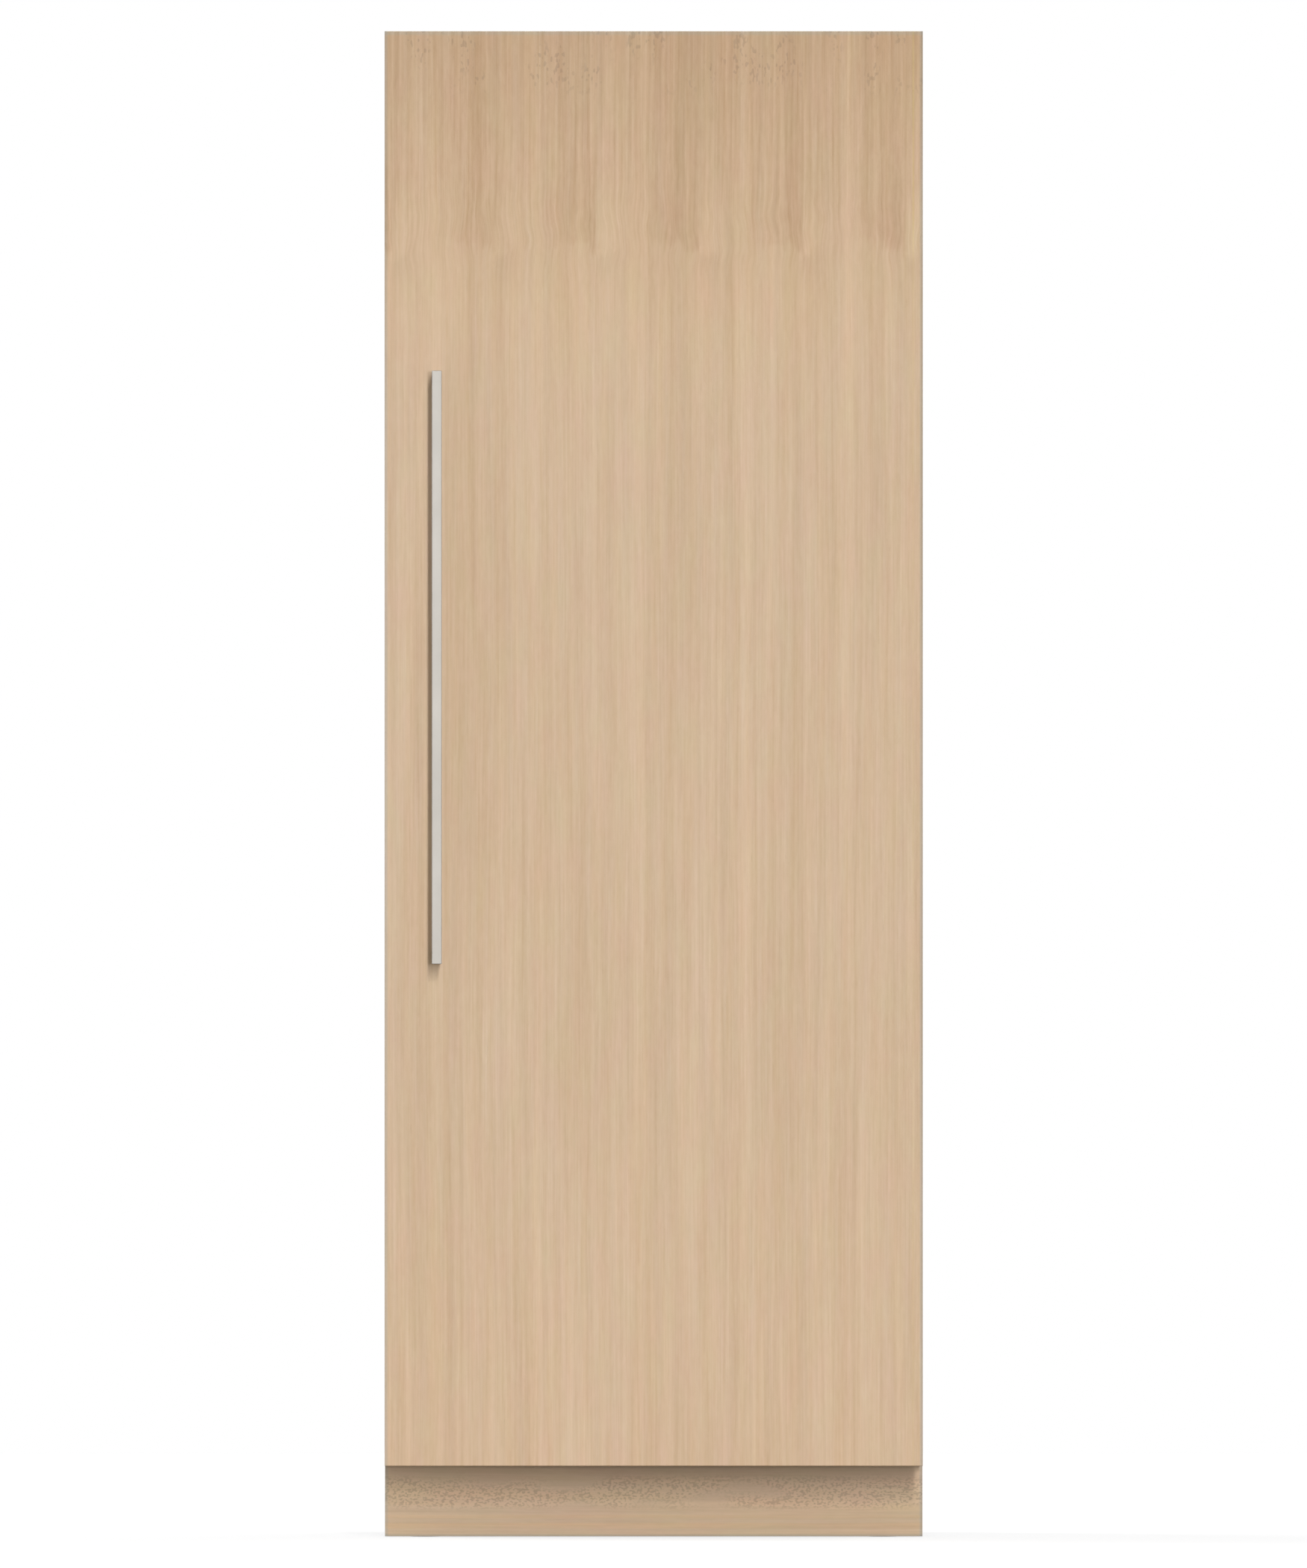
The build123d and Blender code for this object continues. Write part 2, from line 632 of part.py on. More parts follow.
DUCT_X = 312.0
with BuildPart() as air_duct_panel:
    with BuildSketch(Plane.XZ.offset(-DUCT_Y)):
        with Locations((0, (384 + 2040) / 2)):
            RectangleRounded(2 * DUCT_X, 2040 - 384, 8)
    extrude(amount=-58)
    block(-DUCT_X + 3, DUCT_X - 3, DUCT_Y + 3, DUCT_Y + 70, 380, 2037, Mode.SUBTRACT)
    # air outlets between the shelves, and the return slots near the bottom
    with BuildSketch(Plane.XZ.offset(-DUCT_Y)):
        for z in (1090.0, 1450.0, 1830.0):
            for sx in (-190.0, 190.0):
                with Locations((sx, z)):
                    with GridLocations(0, 14, 1, 5):
                        SlotOverall(150, 6)
        with Locations((0, 1960)):
            with GridLocations(0, 14, 1, 4):
                SlotOverall(260, 6)
        with Locations((0, 670)):
            with GridLocations(110, 12, 4, 2):
                SlotOverall(90, 5)
        with Locations((0, EVAP_FAN_Z)):
            with PolarLocations(39, 18):
                SlotOverall(30, 6)
    extrude(amount=-3, mode=Mode.SUBTRACT)
    # motor carrier behind the fan grille
    for a in (90, 210, 330):
        px, pz = 66 * cos(radians(a)), EVAP_FAN_Z + 66 * sin(radians(a))
        rod((px, DUCT_Y + 3, pz), (0, 1, 0), 43, 4)
        r = Vector(cos(radians(a)), 0, sin(radians(a)))
        with BuildSketch(
            Plane(origin=Vector(0, DUCT_Y + 42, EVAP_FAN_Z), x_dir=r, z_dir=(0, 1, 0))
        ):
            with Locations((35, 0)):
                Rectangle(70, 8)
        extrude(amount=4)
    rod((0, DUCT_Y + 28, EVAP_FAN_Z), (0, 1, 0), 20, 19)
    rod((0, DUCT_Y + 10, EVAP_FAN_Z), (0, 1, 0), 19, 2.5)
pieces["air_duct_panel"] = air_duct_panel

with BuildPart() as evaporator_fan:
    rod((0, DUCT_Y + 9, EVAP_FAN_Z), (0, 1, 0), 17, 17)
    for k in range(5):
        blade((0, DUCT_Y + 17, EVAP_FAN_Z), (0, 1, 0), 72 * k + 15, 14, 54, 34, 22, 1.8)
    rod((0, DUCT_Y + 5, EVAP_FAN_Z), (0, 1, 0), 30, 2.56, Mode.SUBTRACT)
pieces["evaporator_fan"] = evaporator_fan

# --------------------------------------------------------------- shelves and lighting
with BuildPart() as shelf_rails:
    for s in (-1, 1):
        lo, hi = sorted((s * CAV_X, s * (CAV_X - 4)))
        block(lo, hi, F + 150, F + 432, LEDGE_Z0 - 18, LEDGE_Z0 + LEDGE_STEP * 21 + 26)
        lo, hi = sorted((s * (CAV_X - 4), s * (CAV_X - 14)))
        for i in range(LEDGES):
            z = LEDGE_Z0 + LEDGE_STEP * i
            block(lo, hi, F + 156, F + 426, z, z + LEDGE_T)
pieces["shelf_rails"] = shelf_rails

SHELF_X, SHELF_Y0, SHELF_Y1 = 322.0, F + 125.0, F + 428.0
for n, level in enumerate(SHELF_ON, 1):
    z = LEDGE_Z0 + LEDGE_STEP * level + LEDGE_T
    with BuildPart() as shelf_frame:
        block(-SHELF_X, SHELF_X, SHELF_Y0 + 8, SHELF_Y1, z, z + 14)
        with BuildSketch(Plane.YZ):
            with BuildLine():
                Polyline(
                    (SHELF_Y0, z - 4),
                    (SHELF_Y0 + 4, z - 8),
                    (SHELF_Y0 + 10, z - 8),
                    (SHELF_Y0 + 14, z),
                    (SHELF_Y0 + 14, z + 14),
                    (SHELF_Y0 + 11, z + 17),
                    (SHELF_Y0 + 4, z + 17),
                    (SHELF_Y0, z + 13),
                    close=True,
                )
            make_face()
        extrude(amount=SHELF_X, both=True)
        block(-SHELF_X, SHELF_X, SHELF_Y1 - 8, SHELF_Y1, z, z + 26)  # rear stop
        block(-294, 294, SHELF_Y0 + 26, SHELF_Y1 - 26, z - 10, z + 30, Mode.SUBTRACT)
        block(-311, 311, SHELF_Y0 + 14, SHELF_Y1 - 14, z + 9.7, z + 30, Mode.SUBTRACT)
    pieces[f"shelf_{n}_frame"] = shelf_frame
    with BuildPart() as shelf_glass:
        block(-310.7, 310.7, SHELF_Y0 + 14.3, SHELF_Y1 - 14.3, z + 9.7, z + 14.2)
        chamfer(shelf_glass.faces().sort_by(Axis.Z)[-1].edges(), 0.5)
    pieces[f"shelf_{n}_glass"] = shelf_glass

with BuildPart() as drawer_runners:
    for s in (-1, 1):
        x_wall, x_plate, x_ledge = s * CAV_X, s * (CAV_X - 4), s * 296.0
        with BuildSketch(Plane.YZ.offset(min(x_wall, x_plate))):
            with BuildLine():
                Polyline(
                    (F + 70, 170),
                    (F + 264, 170),
                    (F + 264, 396),
                    (F + 436, 396),
                    (F + 436, 640),
                    (F + 70, 640),
                    close=True,
                )
            make_face()
        extrude(amount=4)
        lo, hi = sorted((x_plate, x_ledge))
        block(lo, hi, F + 80, F + 264, 331, 335.7)
        block(lo, hi, F + 80, F + 436, 590, 594.7)
        block(lo, hi, F + 100, F + 436, 634, 640)
pieces["drawer_runners"] = drawer_runners

with BuildPart() as crisper_cover_glass:
    block(-319, 319, F + 106, F + 436, 640, 645)
    fillet(crisper_cover_glass.edges().filter_by(Axis.Z), 6)
    chamfer(crisper_cover_glass.faces().sort_by(Axis.Z)[-1].edges(), 0.6)
pieces["crisper_cover_glass"] = crisper_cover_glass

with BuildPart() as light_strips:
    for s in (-1, 1):
        lo, hi = sorted((s * CAV_X, s * (CAV_X - 4)))
        block(lo, hi, F + 108, F + 122, 690, 2010)
    fillet(light_strips.edges().filter_by(Axis.Z).filter_by(lambda e: abs((e @ 0.5).X) < CAV_X - 2), 1.5)
pieces["light_strips"] = light_strips

BUTTON_X = (-78.0, 78.0)
with BuildPart() as control_panel:
    profile(
        [
            (F + 45, CAV_TOP),
            (F + 45, 2030),
            (F + 51, 2024),
            (F + 104, 2024),
            (F + 110, 2030),
            (F + 110, CAV_TOP),
        ],
        150,
    )
    with BuildSketch(Plane.XZ.offset(-(F + 45))):
        with Locations((0, 2039.5)):
            RectangleRounded(84, 11, 2)
    extrude(amount=-0.8, mode=Mode.SUBTRACT)
    for bx in BUTTON_X:
        rod((bx, F + 40, 2039.5), (0, 1, 0), 14, 5.25, Mode.SUBTRACT)
pieces["control_panel"] = control_panel

for name, bx in zip(("temp_down_button", "temp_up_button"), BUTTON_X):
    with BuildPart() as button:
        rod((bx, F + 43.2, 2039.5), (0, 1, 0), 8.5, 5.0)
        fillet(button.faces().sort_by(Axis.Y)[0].edges(), 0.6)
    pieces[name] = button

# =============================================================== door
with BuildPart() as door_panel:
    block(-WIDTH / 2, WIDTH / 2, PANEL_FRONT, DOOR_FRONT, KICK_H, HEIGHT)
    fillet(door_panel.faces().sort_by(Axis.Y)[0].edges(), 1.0)
pieces["door_panel"] = door_panel

with BuildPart() as door_skin:
    block(-DOOR_X, DOOR_X, DOOR_FRONT, DOOR_REAR - 4, DOOR_Z0, DOOR_Z1)
    block(-DOOR_X + 1, DOOR_X - 1, DOOR_FRONT + 1, DOOR_REAR, DOOR_Z0 + 1, DOOR_Z1 - 1, Mode.SUBTRACT)
    rod((PIVOT_X, PIVOT_Y, DOOR_Z0 - 5), (0, 0, 1), DOOR_Z1 - DOOR_Z0 + 10, 9.05, Mode.SUBTRACT)
pieces["door_skin"] = door_skin

with BuildPart() as door_foam:
    block(-DOOR_X + 1, DOOR_X - 1, DOOR_FRONT + 1, DOOR_REAR - 4, DOOR_Z0 + 1, DOOR_Z1 - 1)
    field(DOOR_REAR - 4, 624, 486, 24, Mode.SUBTRACT)
    rod((PIVOT_X, PIVOT_Y, DOOR_Z0), (0, 0, 1), 36, 9.05, Mode.SUBTRACT)
    rod((PIVOT_X, PIVOT_Y, DOOR_Z1), (0, 0, -1), 36, 9.05, Mode.SUBTRACT)
pieces["door_foam"] = door_foam

# bins: name, floor height, wall height
BINS = (("door_bin_upper", 1490.0, 104.0), ("door_bin_middle", 1120.0, 104.0), ("door_bin_lower", 730.0, 136.0))
DAIRY_Z = 1806.0
BIN_X, LIP_Z = 289.0, 52.0
DYKE_X0, DYKE_X1 = 300.0, 316.0
with BuildPart() as door_liner:
    block(-DOOR_X, DOOR_X, DOOR_REAR - 4, DOOR_REAR, DOOR_Z0, DOOR_Z1)
    for s in (-1, 1):
        lo, hi = sorted((s * DYKE_X0, s * DYKE_X1))
        with BuildSketch(Plane.XY.offset(692)):
            with BuildLine():
                Polyline(
                    (s * DYKE_X0, DOOR_REAR),
                    (s * DYKE_X0, F + 46),
                    (s * (DYKE_X0 + 4), F + 50),
                    (s * (DYKE_X1 - 5), F + 50),
                    (s * DYKE_X1, F + 44),
                    (s * (DYKE_X1 + 6), DOOR_REAR),
                    close=True,
                )
            make_face()
        extrude(amount=2024 - 692)
        for z in [b[1] + LIP_Z for b in BINS] + [DAIRY_Z + LIP_Z]:
            lo, hi = sorted((s * DYKE_X0, s * (DYKE_X0 - 7)))
            block(lo, hi, F - 2, F + 44, z - 8, z)
    block(-DYKE_X0, DYKE_X0, DOOR_REAR, F + 24, 2010, 2024)
    block(-DYKE_X0, DYKE_X0, DOOR_REAR, F + 24, 692, 704)
    field(DOOR_REAR - 4, 624, 486, 24, Mode.ADD)
    field(DOOR_REAR, 618, 480, 21, Mode.SUBTRACT)
    for s in (-1, 1):  # corners that swing past the hinge plates
        with BuildSketch(Plane.XY.offset(DOOR_Z0 - 1)) as corner:
            with BuildLine():
                Polyline(
                    (s * (DOOR_X + 1), DOOR_REAR - 3.5),
                    (s * (DOOR_X + 1), DOOR_REAR + 1),
                    (s * (DOOR_X - 3.5), DOOR_REAR + 1),
                    close=True,
                )
            make_face()
        extrude(corner.sketch, amount=DOOR_Z1 - DOOR_Z0 + 2, mode=Mode.SUBTRACT)
    fillet(door_liner.edges().filter_by(Axis.X).filter_by(lambda e: abs((e @ 0.5).Y - (F + 24)) < 1), 4)
pieces["door_liner"] = door_liner

with BuildPart() as door_gasket:
    with BuildSketch(Plane.XZ.offset(-DOOR_REAR)):
        with Locations((0, (131 + 2073) / 2)):
            RectangleRounded(2 * 352, 2073 - 131, 12)
            RectangleRounded(2 * 336, 2057 - 147, 4, mode=Mode.SUBTRACT)
    extrude(amount=-(GAP - 0.3))
pieces["door_gasket"] = door_gasket

with BuildPart() as handle_bar:
    block(
        HANDLE_X - HANDLE_W / 2,
        HANDLE_X + HANDLE_W / 2,
        PANEL_FRONT - HANDLE_REACH,
        PANEL_FRONT - HANDLE_REACH + HANDLE_DEPTH,
        HANDLE_Z0,
        HANDLE_Z1,
    )
    fillet(handle_bar.edges(), 1.0)
    for z in (HANDLE_Z0 + 15.5, HANDLE_Z1 - 15.5):  # fine joint line round the bar
        y = PANEL_FRONT - HANDLE_REACH + HANDLE_DEPTH / 2
        with BuildSketch(Plane.XY.offset(z - 0.3)) as ring:
            with Locations((HANDLE_X, y)):
                Rectangle(HANDLE_W + 4, HANDLE_DEPTH + 4)
                RectangleRounded(HANDLE_W - 0.8, HANDLE_DEPTH - 0.8, 0.6, mode=Mode.SUBTRACT)
        extrude(ring.sketch, amount=0.6, mode=Mode.SUBTRACT)
pieces["handle_bar"] = handle_bar

with BuildPart() as handle_posts:
    for z in (HANDLE_Z0 + POST_H / 2 + 0.6, HANDLE_Z1 - POST_H / 2 - 0.6):
        block(
            HANDLE_X - 6,
            HANDLE_X + 6,
            PANEL_FRONT - HANDLE_REACH + HANDLE_DEPTH,
            PANEL_FRONT,
            z - POST_H / 2,
            z + POST_H / 2,
        )
    fillet(handle_posts.edges().filter_by(Axis.Y), 1.2)
pieces["handle_posts"] = handle_posts

with BuildPart() as hinge_bushes:
    for z, d in ((DOOR_Z0, 1), (DOOR_Z1, -1)):
        rod((PIVOT_X, PIVOT_Y, z), (0, 0, d), 34, 9)
        rod((PIVOT_X, PIVOT_Y, z), (0, 0, -d), 2, 13)
    rod((PIVOT_X, PIVOT_Y, DOOR_Z0 - 5), (0, 0, 1), DOOR_Z1 - DOOR_Z0 + 10, PIN_R + 0.05, Mode.SUBTRACT)
pieces["hinge_bushes"] = hinge_bushes

with BuildPart() as panel_brackets:
    for s in (-1, 1):
        for z in (240, 670, 1100, 1530, 1960):
            lo, hi = sorted((s * DOOR_X, s * (DOOR_X + 2)))
            block(lo, hi, DOOR_FRONT, DOOR_FRONT + 30, z, z + 56)
            lo, hi = sorted((s * (DOOR_X + 2), s * (DOOR_X + 8)))
            block(lo, hi, DOOR_FRONT, DOOR_FRONT + 2, z, z + 56)
            with Locations(
                (s * (DOOR_X + 1), DOOR_FRONT + 17, z + 14), (s * (DOOR_X + 1), DOOR_FRONT + 17, z + 42)
            ):
                Cylinder(2.4, 6, rotation=(0, 90, 0), mode=Mode.SUBTRACT)
pieces["panel_brackets"] = panel_brackets

for name, z, tall in BINS:
    with BuildPart() as door_bin:
        profile(
            [(F - 5, z), (F + 100, z), (F + 103, z + 3), (F + 103, z + tall), (F + 70, z + tall), (F - 5, z + 62)],
            BIN_X,
        )
        block(-BIN_X - 10, BIN_X + 10, F - 3, F + 46, z + LIP_Z, z + LIP_Z + 4)  # hanging lips
        profile(
            [(F - 2, z + 3), (F + 100, z + 3), (F + 100, z + tall + 5), (F - 2, z + tall + 5)],
            BIN_X - 3,
            Mode.SUBTRACT,
        )
        profile(  # rim along the top of the front wall
            [
                (F + 101.5, z + tall - 8),
                (F + 103, z + tall - 8),
                (F + 106, z + tall - 6.5),
                (F + 106, z + tall - 1),
                (F + 105, z + tall),
                (F + 101.5, z + tall),
            ],
            BIN_X,
        )
    pieces[name] = door_bin

LID_Y, LID_Z = F + 5.0, 1900.0
with BuildPart() as dairy_box:
    z = DAIRY_Z
    profile([(F - 5, z), (F + 100, z), (F + 103, z + 3), (F + 103, 1893), (F - 5, 1893)], BIN_X)
    block(-BIN_X - 10, BIN_X + 10, F - 3, F + 46, z + LIP_Z, z + LIP_Z + 4)
    for s in (-1, 1):  # ears that carry the lid
        lo, hi = sorted((s * BIN_X, s * (BIN_X - 3)))
        block(lo, hi, F - 3, F + 13, 1890, 1908)
    profile([(F - 2, z + 3), (F + 100, z + 3), (F + 100, 1910), (F - 2, 1910)], BIN_X - 3, Mode.SUBTRACT)
    rod((-300, LID_Y, LID_Z), (1, 0, 0), 600, 3.06, Mode.SUBTRACT)
pieces["dairy_box"] = dairy_box

with BuildPart() as dairy_lid:
    profile(
        [
            (LID_Y, LID_Z - 5.5),
            (F + 106, LID_Z - 5.5),
            (F + 104.5, LID_Z - 20),
            (F + 107, LID_Z - 20),
            (F + 109, LID_Z - 4),
            (F + 107, LID_Z - 2.5),
            (LID_Y, LID_Z - 2.5),
        ],
        284.5,
    )
    rod((-284.5, LID_Y, LID_Z), (1, 0, 0), 569, 4.5)
    rod((-288.8, LID_Y, LID_Z), (1, 0, 0), 577.6, 3.0)
pieces["dairy_lid"] = dairy_lid

# =============================================================== drawers
SLOT_Z = 606.0
with BuildPart() as crisper_drawer:
    block(-DRAWER_X, DRAWER_X, DRAWER_FRONT + 4, F + 424, 396, 620)
    fillet(crisper_drawer.faces().sort_by(Axis.Z)[0].edges(), 8)
    block(-DRAWER_X - 20, DRAWER_X + 20, F + 152, F + 420, 595, 599)  # runner flanges
    block(-DRAWER_X + 3, DRAWER_X - 3, DRAWER_FRONT + 4, F + 421, 399, 640, Mode.SUBTRACT)
    block(-DRAWER_X - 2, DRAWER_X + 2, DRAWER_FRONT, DRAWER_FRONT + 4, 392, 630)
    with BuildSketch(Plane.YZ):  # pull lip along the top of the front
        with BuildLine():
            Polyline(
                (DRAWER_FRONT + 4, 618), (DRAWER_FRONT + 4, 630), (DRAWER_FRONT + 26, 630), (DRAWER_FRONT + 26, 622),
                (DRAWER_FRONT + 22, 622), (DRAWER_FRONT + 22, 626), (DRAWER_FRONT + 8, 626), close=True
            )
        make_face()
    extrude(amount=DRAWER_X - 3, both=True)
    block(-39, 39, DRAWER_FRONT - 1, DRAWER_FRONT + 5, SLOT_Z - 3, SLOT_Z + 3, Mode.SUBTRACT)
pieces["crisper_drawer"] = crisper_drawer

with BuildPart() as humidity_slider:
    block(-12, 12, DRAWER_FRONT - 4.3, DRAWER_FRONT - 0.3, SLOT_Z - 7, SLOT_Z + 7)
    fillet(humidity_slider.faces().sort_by(Axis.Y)[0].edges(), 1.5)
    block(-6, 6, DRAWER_FRONT - 0.3, DRAWER_FRONT + 4.3, SLOT_Z - 2.7, SLOT_Z + 2.7)
    block(-10, 10, DRAWER_FRONT + 4.3, DRAWER_FRONT + 6.3, SLOT_Z - 6, SLOT_Z + 6)
pieces["humidity_slider"] = humidity_slider

with BuildPart() as deli_drawer:
    block(-DRAWER_X, DRAWER_X, DRAWER_FRONT + 4, F + 270, 176, 366)
    fillet(deli_drawer.faces().sort_by(Axis.Z)[0].edges(), 8)
    block(-DRAWER_X - 20, DRAWER_X + 20, F + 110, F + 262, 336, 340)
    block(-DRAWER_X + 3, DRAWER_X - 3, DRAWER_FRONT + 4, F + 267, 179, 400, Mode.SUBTRACT)
    block(-DRAWER_X - 2, DRAWER_X + 2, DRAWER_FRONT, DRAWER_FRONT + 4, 172, 382)
    with BuildSketch(Plane.YZ):
        with BuildLine():
            Polyline(
                (DRAWER_FRONT + 4, 370), (DRAWER_FRONT + 4, 382), (DRAWER_FRONT + 26, 382), (DRAWER_FRONT + 26, 374),
                (DRAWER_FRONT + 22, 374), (DRAWER_FRONT + 22, 378), (DRAWER_FRONT + 8, 378), close=True
            )
        make_face()
    extrude(amount=DRAWER_X - 3, both=True)
pieces["deli_drawer"] = deli_drawer

# =============================================================== wheels and feet
for name, s in (("rear_left_wheel", -1), ("rear_right_wheel", 1)):
    with BuildPart() as wheel:
        with BuildSketch(Plane.XY.offset(WHEEL_R)):
            with BuildLine():
                Polyline(
                    (s * WHEEL_X - 14.9, WHEEL_Y + AXLE_R + 0.05),
                    (s * WHEEL_X - 14.9, WHEEL_Y + 8),
                    (s * WHEEL_X - 8, WHEEL_Y + 9),
                    (s * WHEEL_X - 8, WHEEL_Y + 18),
                    (s * WHEEL_X - 12, WHEEL_Y + 19),
                    (s * WHEEL_X - 12, WHEEL_Y + 23.5),
                    (s * WHEEL_X - 10.5, WHEEL_Y + 25),
                    (s * WHEEL_X + 10.5, WHEEL_Y + 25),
                    (s * WHEEL_X + 12, WHEEL_Y + 23.5),
                    (s * WHEEL_X + 12, WHEEL_Y + 19),
                    (s * WHEEL_X + 8, WHEEL_Y + 18),
                    (s * WHEEL_X + 8, WHEEL_Y + 9),
                    (s * WHEEL_X + 14.9, WHEEL_Y + 8),
                    (s * WHEEL_X + 14.9, WHEEL_Y + AXLE_R + 0.05),
                    close=True,
                )
            make_face()
        revolve(axis=Axis((0, WHEEL_Y, WHEEL_R), (1, 0, 0)))
    pieces[name] = wheel

for name, s in (("front_left_foot", -1), ("front_right_foot", 1)):
    x = s * FOOT_X
    outline = [(x, 0), (x + 21, 0), (x + 22, 1.5), (x + 22, 6), (x + 16, 9), (x + 6, 9), (x + 6, 20)]
    z = 20.0
    while z < 86:  # thread rings
        outline += [(x + 5.5, z + 0.9), (x + 6, z + 1.8)]
        z += 1.8
    outline += [(x + 5, z + 2.5), (x, z + 2.5)]
    with BuildPart() as foot:
        with BuildSketch(Plane.XZ.offset(-FOOT_Y)):
            with BuildLine():
                Polyline(*outline, close=True)
            make_face()
        revolve(axis=Axis((x, FOOT_Y, 0), (0, 0, 1)))
        with BuildSketch(Plane.XY.offset(9)):
            with Locations((x, FOOT_Y)):
                RegularPolygon(11, 6)
        extrude(amount=9)
    pieces[name] = foot

for name, piece in pieces.items():
    piece.part.label = name
    export_step(piece.part, f"parts/{name}.step")
print(len(pieces), "pieces")
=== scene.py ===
import math

import bmesh
import bpy
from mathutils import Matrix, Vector


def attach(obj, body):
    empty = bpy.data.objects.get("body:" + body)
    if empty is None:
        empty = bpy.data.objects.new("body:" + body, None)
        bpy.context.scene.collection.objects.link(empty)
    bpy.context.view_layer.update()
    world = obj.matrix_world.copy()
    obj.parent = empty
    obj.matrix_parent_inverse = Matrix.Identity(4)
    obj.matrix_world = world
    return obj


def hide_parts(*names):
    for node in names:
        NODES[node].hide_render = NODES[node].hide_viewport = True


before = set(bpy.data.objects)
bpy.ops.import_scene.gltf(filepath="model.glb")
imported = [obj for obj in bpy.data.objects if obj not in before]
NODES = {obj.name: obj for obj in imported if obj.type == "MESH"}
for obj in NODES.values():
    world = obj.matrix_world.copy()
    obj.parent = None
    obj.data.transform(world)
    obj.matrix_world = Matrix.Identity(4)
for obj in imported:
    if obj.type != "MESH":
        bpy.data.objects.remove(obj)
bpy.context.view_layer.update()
MM = 0.001
F = -212.5  # the cabinet's front plane, mm

# ------------------------------------------------------------------ material helpers


def lin(r, g, b):
    """sRGB 0..255 to linear."""
    return tuple(
        c / 12.92 if c <= 0.04045 else ((c + 0.055) / 1.055) ** 2.4
        for c in (r / 255, g / 255, b / 255)
    ) + (1.0,)


class Mat:
    """A small builder for procedural materials. Coordinates are the row frame's, in metres."""

    def __init__(self, name):
        self.m = bpy.data.materials.new(name)
        self.m.use_nodes = True
        self.t = self.m.node_tree
        self.t.nodes.clear()
        self.out = self.n("OutputMaterial")
        self.co = self.n("TexCoord").outputs["Object"]
        sep = self.n("SeparateXYZ")
        self.t.links.new(self.co, sep.inputs[0])
        self.x, self.y, self.z = sep.outputs

    def n(self, kind, **props):
        node = self.t.nodes.new("ShaderNode" + kind)
        for k, v in props.items():
            setattr(node, k, v)
        return node

    def put(self, socket, value):
        if isinstance(value, bpy.types.NodeSocket):
            self.t.links.new(value, socket)
        elif hasattr(socket.default_value, "__len__"):
            socket.default_value = tuple(value)[: len(socket.default_value)]
        else:
            socket.default_value = value

    def math(self, op, a, b=None, c=None, clamp=False):
        node = self.n("Math", operation=op, use_clamp=clamp)
        for s, v in zip(node.inputs, (a, b, c)):
            if v is not None:
                self.put(s, v)
        return node.outputs[0]

    def add(self, a, b):
        return self.math("ADD", a, b)

    def mul(self, a, b):
        return self.math("MULTIPLY", a, b)

    def vec(self, x, y, z):
        node = self.n("CombineXYZ")
        for s, v in zip(node.inputs, (x, y, z)):
            self.put(s, v)
        return node.outputs[0]

    def scaled(self, sx, sy, sz):
        return self.vec(self.mul(self.x, sx), self.mul(self.y, sy), self.mul(self.z, sz))

    def noise(self, vector, scale=1.0, detail=2.0, rough=0.5, warp=0.0):
        node = self.n("TexNoise")
        self.put(node.inputs["Vector"], vector)
        node.inputs["Scale"].default_value = scale
        node.inputs["Detail"].default_value = detail
        node.inputs["Roughness"].default_value = rough
        node.inputs["Distortion"].default_value = warp
        return node.outputs["Fac"]

    def voronoi(self, vector, scale=1.0, feature="F1", out="Distance"):
        node = self.n("TexVoronoi", feature=feature)
        self.put(node.inputs["Vector"], vector)
        node.inputs["Scale"].default_value = scale
        return node.outputs[out]

    def ramp(self, v, a, b, c=0.0, d=1.0, smooth=False):
        node = self.n("MapRange", interpolation_type="SMOOTHSTEP" if smooth else "LINEAR")
        for s, val in zip(node.inputs, (v, a, b, c, d)):
            self.put(s, val)
        return node.outputs[0]

    def mix(self, fac, a, b, mode="MIX"):
        node = self.n("Mix", data_type="RGBA", blend_type=mode)
        node.clamp_factor = True
        self.put(node.inputs[0], fac)
        self.put(node.inputs[6], a)
        self.put(node.inputs[7], b)
        return node.outputs[2]

    def tint(self, colour, k):
        """colour times the number k."""
        node = self.n("VectorMath", operation="SCALE")
        self.put(node.inputs[0], colour)
        self.put(node.inputs["Scale"], k)
        return node.outputs[0]

    def bump(self, height, strength=0.3, distance=0.0005, normal=None):
        node = self.n("Bump")
        node.inputs["Strength"].default_value = strength
        node.inputs["Distance"].default_value = distance
        self.put(node.inputs["Height"], height)
        if normal is not None:
            self.put(node.inputs["Normal"], normal)
        return node.outputs[0]

    def shade(self, **sockets):
        node = self.n("BsdfPrincipled")
        for k, v in sockets.items():
            self.put(node.inputs[k.replace("_", " ")], v)
        self.t.links.new(node.outputs[0], self.out.inputs["Surface"])
        return self.m


def dress(material, *names):
    for name in names:
        o = NODES[name] if name in NODES else bpy.data.objects[name]
        if not o.material_slots:
            o.data.materials.append(material)
        for s in o.material_slots:
            s.material = material


# ------------------------------------------------------------------ wood
LEAF = 0.1455  # width of one veneer leaf
LEAF0 = -0.3707  # a seam


